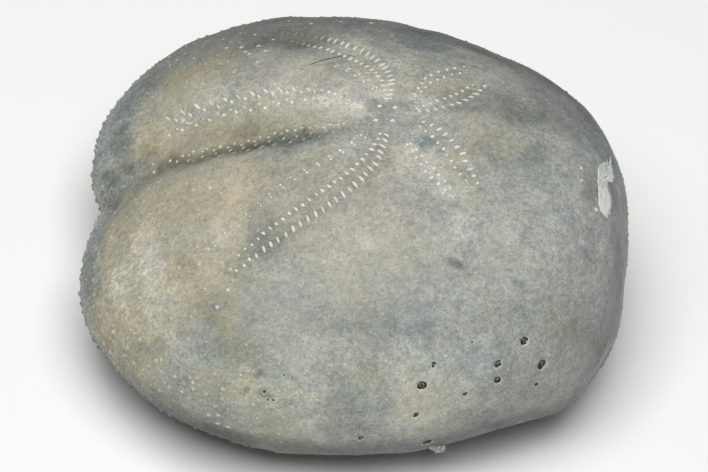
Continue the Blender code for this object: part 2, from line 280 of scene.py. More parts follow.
REAR_FORE_INNER = dict(
    first=(4.0, 3.4), last=(10.3, 9.5),
    near=(122.0, 123.1, 124.6, 126.2, 127.4, 127.7),
    far=(137.6, 129.0, 127.1, 129.3, 131.8, 132.6))
PETAL_SINK = 0.22
ZONE_SINK = 0.05
ZONE_WIDTH = 0.75


def row_angle(row, radius, side):
    """Angle from the front, in radians, of a row at a radius from the apex; side -1 is near."""
    count = len(row["near"])
    near, far = (np.interp(radius, ROW_RADII[:count], row[key]) for key in ("near", "far"))
    return np.radians(np.where(side < 0.0, near, far))


def row_distance(row, p):
    """Sideways distance on the plan from a pore row, and the share of its length (0 to 1)."""
    x, y = p[..., 0], p[..., 1]
    radius = np.hypot(x, y)
    first = np.where(y < 0.0, row["first"][0], row["first"][1])
    last = np.where(y < 0.0, row["last"][0], row["last"][1])
    away = (np.arctan2(np.abs(y), -x) - row_angle(row, radius, y)) * radius
    return away, (radius - first) / (last - first)


def petal_relief(p):
    """The petals lie lower than the shell between them, and each pore zone a little lower again."""
    depth = np.zeros(p.shape[:-1])
    sunk = ((FRONT_HIND_INNER, 1.9, PETAL_SINK), (REAR_HIND_INNER, 1.4, PETAL_SINK),
            (FRONT_HIND_OUTER, ZONE_WIDTH, ZONE_SINK), (REAR_HIND_OUTER, ZONE_WIDTH, ZONE_SINK))
    for row, width, sink in sunk:
        away, along = row_distance(row, p)
        ends = np.clip(along * 4.0, 0.0, 1.0) * np.clip((1.15 - along) * 4.0, 0.0, 1.0)
        depth += sink * ends * hill(away, width)
    return -depth * (p[..., 2] > AMBITUS_HEIGHT)


# %% [markdown]
# ## Damage
# Small pits have weathered into the near flank, and a chip on the rear shoulder is filled with pale
# rock. Both are hollows in the shell, with their own pieces inside.

# %% Places of the damage
PITS = np.array([
    (12.6, -15.0, 15.0, 0.37), (10.8, -16.6, 13.7, 0.34), (11.0, -16.8, 12.2, 0.33),
    (14.4, -14.5, 12.2, 0.47), (14.2, -14.9, 10.5, 0.18), (5.9, -18.4, 14.6, 0.22),
    (5.1, -19.2, 12.9, 0.40), (5.0, -19.1, 9.6, 0.25), (8.8, -17.7, 11.3, 0.20),
    (1.2, -20.2, 7.5, 0.24), (3.6, -19.2, 6.3, 0.14), (6.5, -17.8, 5.6, 0.40),
    (-6.9, -20.9, 12.0, 0.17), (-6.4, -21.1, 11.3, 0.12), (-6.1, -21.1, 11.4, 0.12),
    (-5.5, -20.5, 13.6, 0.10), (8.6, -16.7, 15.9, 0.08),
])
PIT_DEPTH_SHARE = 0.8
CHIP_MIDDLE = np.array([17.75, -1.05, 19.75])
CHIP_ALONG = np.array([0.02, 1.0, 0.06])
CHIP_ACROSS = np.array([0.68, 0.0, -0.73])
CHIP_HALF_LENGTH = 3.3
CHIP_HALF_WIDTH = 0.85
CHIP_DEPTH = 0.12


def chip_relief(p):
    """A shallow hollow with a flat floor under the pale filling."""
    offset = p - CHIP_MIDDLE
    along = offset @ CHIP_ALONG / CHIP_HALF_LENGTH
    across = offset @ CHIP_ACROSS / CHIP_HALF_WIDTH
    return -CHIP_DEPTH * np.exp(-(along ** 6) - across ** 6) * (p[..., 0] > 0.0)


def relief(p):
    """All relief but the pits, which are sunk once the shell is known."""
    broad = groove_relief(p) + keel_relief(p) + underside_relief(p) + petal_relief(p)
    return broad + swell_relief(p) + WAVE_HEIGHT * waves(slow_bank, p) + chip_relief(p)


# %% [markdown]
# ## The shell as a function
# A normal is the cross product of two small steps, one along each parameter. With it the shell is
# form + normal x relief, cut flat at the resting face.

# %% Shell functions
STEP = 1e-3
POLE_GAP = 1e-3
NEWTON_ROUNDS, NEWTON_SHARE = 14, 0.8


def step_normal(surface, azimuth, polar):
    """Outward normal of a surface function, from central differences."""
    polar = np.clip(polar, 2 * POLE_GAP, np.pi - 2 * POLE_GAP)
    down = surface(azimuth, polar + STEP) - surface(azimuth, polar - STEP)
    round_ = surface(azimuth + STEP, polar) - surface(azimuth - STEP, polar)
    normal = np.cross(down, round_)
    return normal / np.linalg.norm(normal, axis=-1, keepdims=True)


def shell_raw(azimuth, polar):
    """Shell point with its relief, in the form's own place."""
    p = bare_form(azimuth, polar)
    p = p + step_normal(bare_form, azimuth, polar) * relief(p)[..., None]
    p[..., 2] = np.maximum(p[..., 2], FACET_HEIGHT)
    return p


# %% Move the form over the solid
look_u, look_v = np.meshgrid(np.linspace(0, 2 * np.pi, 361), np.linspace(POLE_GAP, np.pi - POLE_GAP, 181))
look = shell_raw(look_u, look_v)
shift = (box_low + box_high) / 2 - (look.min(axis=(0, 1)) + look.max(axis=(0, 1))) / 2
shift[2] = box_low[2] - FACET_HEIGHT
print("form moved by, mm:", np.round(shift, 3))


def snap(points):
    """Azimuth and polar angle of the shell points nearest to some points of the form."""
    flat = look.reshape(-1, 3)
    best = [int(np.argmin(((flat - point) ** 2).sum(axis=1))) for point in np.atleast_2d(points)]
    return look_u.reshape(-1)[best], look_v.reshape(-1)[best]


pit_u, pit_v = snap(PITS[:, :3])
pit_middle = shell_raw(pit_u, pit_v)
pit_radius = PITS[:, 3]


def pit_relief(p):
    """Round hollows with steep walls, -depth e^-(distance/radius)^4."""
    depth = np.zeros(p.shape[:-1])
    for middle, radius in zip(pit_middle, pit_radius):
        away = np.linalg.norm(p - middle, axis=-1) / radius
        depth += PIT_DEPTH_SHARE * radius * np.exp(-(away ** 4))
    return -depth


def shell(azimuth, polar):
    """Finished shell point, over the solid."""
    p = shell_raw(azimuth, polar)
    normal = step_normal(shell_raw, azimuth, polar)
    sunk = p + normal * pit_relief(p)[..., None]
    return sunk + shift


def on_top(x, y):
    """Azimuth and polar angle of points of the upper side given on the plan, by Newton's method.

    Each round solves the 2 x 2 system of slopes for the miss and takes a share of that step.
    """
    azimuth = np.arctan2(y, x)
    polar = np.arcsin(np.clip(np.hypot(x, y) / HALF_LENGTH, 0.0, 0.95))
    for _ in range(NEWTON_ROUNDS):
        here = bare_form(azimuth, polar)
        by_u = (bare_form(azimuth + STEP, polar) - here) / STEP
        by_v = (bare_form(azimuth, polar + STEP) - here) / STEP
        miss_x, miss_y = x - here[..., 0], y - here[..., 1]
        area = by_u[..., 0] * by_v[..., 1] - by_u[..., 1] * by_v[..., 0]
        azimuth = azimuth + NEWTON_SHARE * (miss_x * by_v[..., 1] - miss_y * by_v[..., 0]) / area
        polar = polar + NEWTON_SHARE * (by_u[..., 0] * miss_y - by_u[..., 1] * miss_x) / area
        polar = np.clip(polar, POLE_GAP, np.pi / 2)
    return azimuth, polar


# %% [markdown]
# ## Closed grids
# Every piece here is the same kind of mesh: rings of points, joined by quads, with a fan of triangles
# to a pole at each end. Such a body is closed, and one helper makes them all.

# %% Mesh helpers
def closed_faces(rings, sides):
    """Quads between rings and the two fans; the poles are the last two points."""
    index = np.arange(rings * sides).reshape(rings, sides)
    after = np.roll(index, -1, axis=1)
    quads = np.stack([index[:-1], index[1:], after[1:], after[:-1]], axis=-1).reshape(-1, 4)
    first, last = rings * sides, rings * sides + 1
    top = np.stack([np.full(sides, first), index[0], after[0]], axis=-1)
    bottom = np.stack([index[-1], np.full(sides, last), after[-1]], axis=-1)
    return quads, np.concatenate([top, bottom])


def add_object(name, data):
    """An object with its data, linked to the scene."""
    obj = bpy.data.objects.new(name, data)
    bpy.context.scene.collection.objects.link(obj)
    return obj


def make_piece(name, points, quads, tris, material, attributes=None):
    """Object with a smooth mesh of points in millimetres and per-point attributes."""
    mesh = bpy.data.meshes.new(name)
    mesh.from_pydata((points * MM).tolist(), [], quads.tolist() + tris.tolist())
    mesh.shade_smooth()
    for key, values in (attributes or {}).items():
        layer = mesh.attributes.new(key, "FLOAT", "POINT")
        layer.data.foreach_set("value", np.asarray(values, dtype=np.float32).reshape(-1))
    mesh.materials.append(material)
    piece = add_object(name, mesh)
    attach(piece, "root")
    print(name, "triangles:", 2 * len(quads) + len(tris))
    return piece


def closed_grid(rings, first_pole, last_pole):
    """Points and faces of a closed grid from an array of rings and its two poles."""
    count, sides = rings.shape[:2]
    points = np.concatenate([rings.reshape(-1, 3), [first_pole], [last_pole]])
    return points, *closed_faces(count, sides)


# %% [markdown]
# ## Colour zones
# The colour of the stone can be told by three numbers. Warmth runs from slate blue (0) to beige (1),
# lightness is the logarithm of how much paler or darker a place is, partly the stone's own tone and
# partly painted shade, and rose is a slight tint from green (-1) to pink (1). All are drawn on a chart
# of the test. As on a polar map, the distance from the middle of the chart is the angle from the apex
# in degrees. There are areas, given by their strength, the softness of their edge and their corners,
# and streaks, soft strokes given by both ends, a radius and a strength. They are added up, and waves
# make their edges ragged.

# %% Warm and cold areas and streaks
WARM_BASE = 0.28
WARM_AREAS = (
    (0.22, 3.0, ((-76, 8), (-74, 15), (-68, 23), (-60, 30), (-55, 38), (-47, 41), (-38, 40), (-32, 34),
        (-28, 24), (-20, 20), (-8, 19), (4, 22), (14, 19), (17, 12), (13, 5), (2, 1), (-8, -4), (-20, -6),
        (-24, -12), (-12, -13), (4, -13), (12, -9), (22, -4), (24, -13), (20, -25), (14, -30), (12, -41),
        (2, -45), (-9, -47), (-16, -42), (-26, -36), (-28, -50), (-28, -62), (-42, -62), (-50, -70),
        (-62, -79), (-72, -74), (-80, -62), (-82, -52), (-75, -44), (-76, -26), (-72, -16), (-70, -8),
        (-78, -2))),
    (0.18, 3.5, ((-73, 12), (-66, 22), (-58, 28), (-54, 35), (-45, 36), (-37, 33), (-37, 27), (-43, 20),
        (-48, 15), (-42, 10), (-30, 9), (-20, 5), (-13, 0), (-20, -2), (-29, -5), (-26, -14), (-23, -21),
        (-17, -25), (-26, -31), (-29, -38), (-28, -50), (-30, -61), (-36, -57), (-45, -60), (-50, -68),
        (-60, -74), (-72, -72), (-79, -60), (-78, -52), (-72, -46), (-72, -34), (-74, -25), (-69, -16),
        (-66, -8), (-67, 2))),
    (0.14, 3.0, ((-70, 16), (-60, 17), (-56, 9), (-44, 7), (-30, 3), (-22, -2), (-30, -3), (-45, -2),
        (-56, 3), (-69, 9))),
    (0.16, 3.0, ((-61, -19), (-52, -12), (-44, -15), (-30, -13), (-25, -19), (-28, -27), (-29, -36),
        (-34, -32), (-46, -32), (-58, -28))),
    (0.13, 2.5, ((-47, -43), (-40, -40), (-30, -43), (-31, -52), (-40, -53), (-48, -48))),
    (0.14, 2.5, ((-72, -52), (-64, -51), (-54, -54), (-56, -61), (-66, -61), (-72, -59))),
    (0.08, 4.0, ((20, 6), (28, 4), (30, -8), (29, -25), (36, -41), (30, -48), (20, -44), (8, -50),
        (-2, -55), (-12, -50), (-27, -48), (-10, -46), (10, -42), (22, -28), (22, -10))),
    (0.08, 4.0, ((-72, 12), (-54, 34), (-36, 34), (-30, 10), (-14, 1), (-30, -6), (-66, -4))),
    (0.08, 4.0, ((-70, -20), (-50, -12), (-28, -14), (-26, -38), (-36, -56), (-60, -68), (-74, -64),
        (-76, -52), (-68, -36))),
    (0.16, 2.5, ((-30, -40), (-24, -40), (-19, -54), (-20, -69), (-28, -69), (-31, -54))),
    (-0.26, 3.0, ((3, -18), (14, -17), (17, -8), (22, -6), (25, -14), (23, -22), (12, -31), (5, -28))),
    (0.12, 3.0, ((-25, 24), (-23, 39), (-15, 41), (-10, 36), (-8, 27), (2, 28), (5, 22), (-12, 19))),
    (0.12, 3.0, ((-60, 36), (-54, 48), (-44, 52), (-31, 50), (-33, 38), (-42, 42), (-52, 40))),
    (0.12, 4.0, ((-50, -66), (-36, -68), (-28, -64), (-22, -72), (-10, -70), (-5, -84), (-6, -110),
        (-16, -118), (-30, -112), (-38, -98), (-54, -94), (-68, -80))),
    (0.16, 3.0, ((-34, -88), (-26, -83), (-18, -88), (-18, -105), (-24, -109), (-30, -99))),
    (0.12, 3.0, ((10, -70), (28, -70), (38, -79), (42, -96), (26, -104), (17, -96), (9, -84))),
    (0.16, 2.5, ((10, -73), (17, -73), (25, -76), (33, -90), (28, -92), (16, -92), (12, -86))),
    (0.12, 2.5, ((-9, -61), (5, -65), (16, -62), (15, -70), (2, -73), (-9, -69))),
    (-0.16, 3.0, ((-92, 13), (-80, 14), (-72, 19), (-66, 30), (-62, 40), (-66, 48), (-80, 36))),
    (-0.12, 2.0, ((-87, 10), (-82, 10), (-80, 4), (-84, 1), (-88, 5))),
    (-0.12, 2.5, ((-80, -22), (-75, -24), (-74, -36), (-80, -46), (-90, -46), (-92, -30))),
    (-0.20, 2.5, ((37, 3), (44, 2), (49, 6), (56, 5), (62, 0), (62, 12), (50, 22), (40, 26), (38, 14))),
    (-0.20, 3.0, ((2, 38), (7, 25), (13, 33), (10, 44), (3, 46))),
    (-0.11, 2.0, ((45, -22), (49, -4), (54, 1), (58, -3), (53, -14), (49, -22))),
    (-0.14, 2.0, ((4, -53), (12, -50), (17, -49), (17, -57), (9, -60))),
    (-0.10, 2.0, ((26, -64), (32, -56), (38, -56), (42, -62), (38, -65), (30, -68))),
    (-0.10, 3.0, ((60, -12), (70, -16), (74, -24), (60, -23))),
    (-0.12, 3.0, ((50, -87), (64, -82), (74, -84), (60, -95), (50, -97))),
    (0.10, 4.0, ((-25, 1), (-5, 2), (22, -1), (22, -12), (18, -26), (8, -28), (4, -40), (0, -58),
        (-8, -56), (-20, -48), (-27, -28), (-28, -12))),
    (0.08, 4.0, ((-76, -62), (-50, -66), (-40, -58), (-20, -60), (-20, -78), (-44, -84), (-60, -90))),
    (-0.10, 4.0, ((8, 34), (30, 24), (37, 2), (52, -2), (60, 6), (40, 28), (14, 46), (2, 44))),
)
WARM_STREAKS = (
    (-80, 4, -73, -12, 5.5, 0.30), (-77, -4, -78, -1, 3.5, 0.18), (-74, -20, -70, -30, 3.0, 0.18),
    (-70, -2, -64, 2, 4.0, 0.08), (-54, -14, -54, -16, 4.0, -0.14), (-46, -14, -34, -20, 4.0, -0.10),
    (-48, -44, -46, -60, 4.0, -0.10), (12, -58, 18, -64, 3.5, -0.10), (36, -68, 44, -76, 4.0, -0.10),
    (-72, 14, -70, 12, 3.5, 0.20), (-78, -4, -74, -10, 3.0, 0.16), (-75, -22, -72, -28, 2.5, 0.20),
    (-72, -72, -66, -77, 5.0, 0.22), (-48, -46, -40, -54, 3.0, 0.14), (-40, -77, -35, -76, 3.0, 0.16),
    (-3, -50, 1, -54, 2.6, 0.22), (-13, -59, -10, -61, 3.0, 0.16), (1, -73, 4, -79, 3.0, 0.16),
    (12, -87, 15, -92, 3.0, 0.16), (-22, 38, -12, 32, 4.0, 0.12), (-24, 24, -18, 21, 3.0, 0.10),
    (-18, -76, -16, -92, 5.0, 0.10), (-10, 32, -4, 20, 3.0, 0.10), (-80, 12, -79, 12, 2.0, 0.16),
    (26, -68, 32, -70, 3.0, -0.12), (-58, -64, -54, -65, 3.0, -0.12), (29, -37, 30, -40, 2.6, -0.18),
    (-76, -30, -72, -44, 3.0, -0.16), (40, 4, 46, 8, 3.0, -0.14), (56, -18, 66, -16, 5.0, -0.10),
    (50, -48, 66, -58, 4.0, -0.08), (-22, -24, -8, -28, 3.5, -0.08), (-24, -13, -16, -14, 3.0, -0.08),
    (-51, 31, -46, 31, 4.0, 0.18), (-68, -25, -66, -40, 2.5, 0.14), (-44, -6, -41, -2, 3.0, 0.10),
    (-30, -79, -26, -76, 3.5, 0.28), (15, -82, 20, -82, 3.0, 0.10), (16, -3, 22, -5, 3.5, 0.18),
    (16, -12, 17, -24, 3.0, 0.14), (42, -43, 53, -46, 3.5, 0.12), (58, -47, 70, -49, 3.0, 0.10),
    (52, -60, 66, -65, 3.0, 0.10), (22, -101, 26, -104, 3.0, 0.10), (-34, -66, -30, -57, 2.5, 0.14),
    (-60, -70, -52, -66, 4.0, 0.10), (-10, -82, -8, -84, 2.5, 0.10), (14, 12, 17, 18, 3.0, 0.14),
    (-18, 22, -15, 20, 2.5, 0.12), (-8, 22, -6, 15, 2.0, 0.10), (3, 18, 5, 10, 2.0, 0.08),
    (-52, -48, -54, -38, 3.5, -0.14), (-62, -46, -61, -44, 3.5, -0.12), (-52, 14, -48, 13, 2.5, -0.16),
    (-40, 18, -32, 19, 3.5, -0.14), (-22, -9, -14, -8, 2.5, -0.16), (8, -8, 9, -9, 1.6, -0.50),
    (0, 0, 0, 1, 1.8, -0.28), (27, -4, 27, -10, 1.6, -0.30), (30, -12, 31, -10, 1.6, -0.16),
    (36, -20, 38, -17, 2.2, -0.14), (41, -27, 44, -27, 2.0, -0.12), (56, -33, 60, -37, 4.5, -0.12),
    (80, -36, 86, -44, 5.0, -0.12), (12, -57, 15, -55, 1.8, -0.14), (35, -45, 36, -49, 1.8, -0.14),
    (21, -47, 22, -49, 1.4, -0.12), (17, -38, 18, -38, 1.0, -0.24), (31, -38, 32, -38, 1.0, -0.16),
    (-22, -36, -22, -42, 2.5, -0.14), (-38, -62, -36, -68, 3.0, -0.16), (-34, -54, -31, -55, 2.0, -0.30),
    (-20, -74, -18, -74, 1.8, -0.20), (-36, -84, -40, -86, 3.0, -0.10), (-52, -67, -51, -66, 1.6, -0.20),
    (28, 14, 29, 19, 1.8, -0.14), (30, 6, 32, 9, 1.8, -0.14), (24, 3, 25, 5, 1.4, -0.12),
    (-84, 2, -84, 12, 2.5, -0.12), (-9, 35, -5, 32, 1.8, -0.16), (0, -76, 2, -104, 3.5, -0.06),
    (6, -100, 8, -106, 1.6, -0.16), (5, -113, 28, -112, 2.5, -0.16), (73, -55, 76, -55, 2.0, -0.12),
    (-75, -20, -72, -25, 1.6, 0.18), (22, -7, 22, -11, 1.4, 0.16), (-18, -8, -17, -8, 1.6, 0.12),
    (-16, -24, -15, -25, 2.0, 0.12), (-22, -41, -18, -44, 1.8, 0.12), (5, -19, 7, -19, 1.8, 0.10),
    (7, -51, 9, -51, 1.2, 0.12), (-6, -72, -6, -80, 2.0, 0.10), (3, -72, 6, -80, 3.0, 0.10),
    (-58, -68, -52, -66, 2.4, -0.16), (-42, -60, -42, -72, 2.2, -0.14), (-32, -53, -31, -53, 1.2, -0.14),
    (-24, -76, -17, -76, 2.4, -0.10), (-80, 7, -76, 5, 2.4, -0.14), (-66, 27, -60, 31, 3.0, 0.12),
    (-72, 13, -64, 18, 2.0, 0.12), (-69, 6, -62, -9, 2.0, 0.12), (-54, -4, -40, -10, 2.6, 0.10),
    (-37, -5, -27, -6, 2.0, 0.10), (-50, 19, -43, 8, 4.0, -0.08), (-34, 0, -14, 3, 2.2, -0.08),
    (-50, 44, -37, 41, 2.4, 0.12), (-26, 46, -18, 36, 2.2, 0.10), (-19, 24, -17, 14, 2.4, 0.10),
    (2, 19, 4, 12, 2.0, -0.14), (12, 11, 14, 11, 1.8, -0.14), (-2, 41, 7, 34, 3.0, -0.10),
    (29, 22, 30, 16, 2.0, 0.10), (41, 17, 38, 10, 1.4, 0.12), (42, 6, 52, 4, 4.0, -0.10),
    (50, 0, 51, -12, 2.0, -0.14), (60, -20, 74, -12, 3.0, -0.10), (82, -40, 88, -46, 4.0, -0.12),
    (80, -62, 92, -68, 4.0, -0.10), (54, -92, 62, -89, 3.0, -0.12), (4, -114, 30, -112, 2.5, -0.14),
    (-26, -100, -22, -114, 3.0, 0.14), (24, -95, 37, -96, 3.0, 0.10), (28, -78, 42, -89, 1.8, 0.10),
    (-84, -53, -72, -56, 4.0, 0.14), (-68, -78, -60, -86, 3.0, 0.12), (45, -45, 52, -48, 2.4, 0.10),
    (14, -30, 20, -20, 2.0, 0.10), (40, 4, 41, 5, 3.0, -0.12),
    (-20, 70, -24, 78, 9.0, 0.20), (-50, 60, -58, 66, 8.0, 0.18), (30, 60, 38, 66, 9.0, 0.18),
    (70, 30, 76, 36, 8.0, 0.14), (-40, 110, -20, 116, 12.0, 0.20), (30, -135, 46, -130, 12.0, 0.18),
    (120, 30, 112, 44, 12.0, 0.16), (0, 56, 6, 62, 9.0, -0.14), (90, 50, 84, 58, 9.0, -0.14),
)

# %% Light and dark areas and streaks
# Paler and darker tone of the stone; the dark areas along the front groove and the rims are painted shade.
LIGHT_AREAS = (
    (0.14, 3.0, ((-38, 13), (-28, 21), (-15, 24), (-8, 30), (-2, 22), (1, 22), (5, 19), (4, 12), (11, 7),
        (12, 2), (5, -1), (-4, -4), (-16, -4), (-28, 0), (-30, 8))),
    (0.10, 2.5, ((-22, 10), (-14, 12), (-2, 15), (3, 7), (12, 5), (8, 1), (-4, 0), (-16, 0), (-26, 2))),
    (0.08, 3.0, ((-63, 12), (-58, 24), (-44, 29), (-34, 22), (-30, 10), (-40, 6), (-44, -3), (-50, 2))),
    (0.09, 3.0, ((-68, -50), (-61, -38), (-61, -28), (-63, -13), (-50, -11), (-30, -11), (-26, -22),
        (-28, -38), (-35, -50), (-46, -60), (-60, -67), (-68, -60))),
    (0.18, 2.0, ((3, -8), (9, -10), (14, -12), (18, -22), (14, -23), (8, -18), (3, -18))),
    (0.08, 2.5, ((-15, -26), (-8, -30), (2, -22), (5, -30), (2, -43), (-12, -43))),
    (0.06, 3.0, ((20, -22), (30, -14), (40, -20), (52, -15), (56, -32), (44, -39), (30, -36), (22, -30))),
    (0.13, 3.0, ((-23, -99), (-32, -91), (-30, -77), (-18, -74), (-13, -61), (-6, -65), (-6, -88),
        (-9, -101))),
    (0.10, 2.0, ((-21, -80), (-8, -76), (-7, -83), (-14, -89), (-23, -86))),
    (0.12, 3.0, ((4, -70), (12, -60), (25, -59), (37, -66), (41, -84), (35, -93), (24, -101), (12, -98),
        (3, -84))),
    (0.20, 2.5, ((10, -69), (14, -73), (22, -66), (31, -72), (37, -85), (30, -89), (26, -97), (14, -96),
        (10, -86))),
    (0.08, 3.0, ((-62, -74), (-50, -71), (-46, -78), (-54, -80))),
    (-0.30, 2.0, ((-32, -5), (-24, -4), (-12, -5), (-11, -9), (-22, -11), (-31, -10))),
    (-0.22, 2.5, ((-27, -27), (-20, -30), (-19, -42), (-27, -42))),
    (-0.18, 3.0, ((-38, -50), (-20, -51), (-19, -59), (-27, -72), (-39, -67), (-38, -56))),
    (-0.12, 2.5, ((-18, -50), (-4, -53), (5, -49), (16, -49), (17, -60), (2, -63), (-8, -60),
        (-18, -57))),
    (-0.22, 3.0, ((12, 2), (20, 13), (26, 19), (34, 17), (43, 11), (43, 2), (36, 5), (28, 3), (22, -1))),
    (-0.18, 3.0, ((57, -12), (66, -14), (87, -28), (90, -72), (80, -74), (76, -52), (62, -38))),
    (-0.14, 3.0, ((-92, 0), (-92, 16), (-80, 22), (-68, 30), (-62, 42), (-70, 48), (-96, 30), (-98, 0))),
    (-0.12, 3.0, ((-76, -10), (-74, -22), (-69, -30), (-70, -46), (-84, -48), (-92, -30))),
    (-0.14, 3.0, ((-90, 2), (-60, 3), (-52, -4), (-64, -10), (-76, -14), (-90, -6))),
)
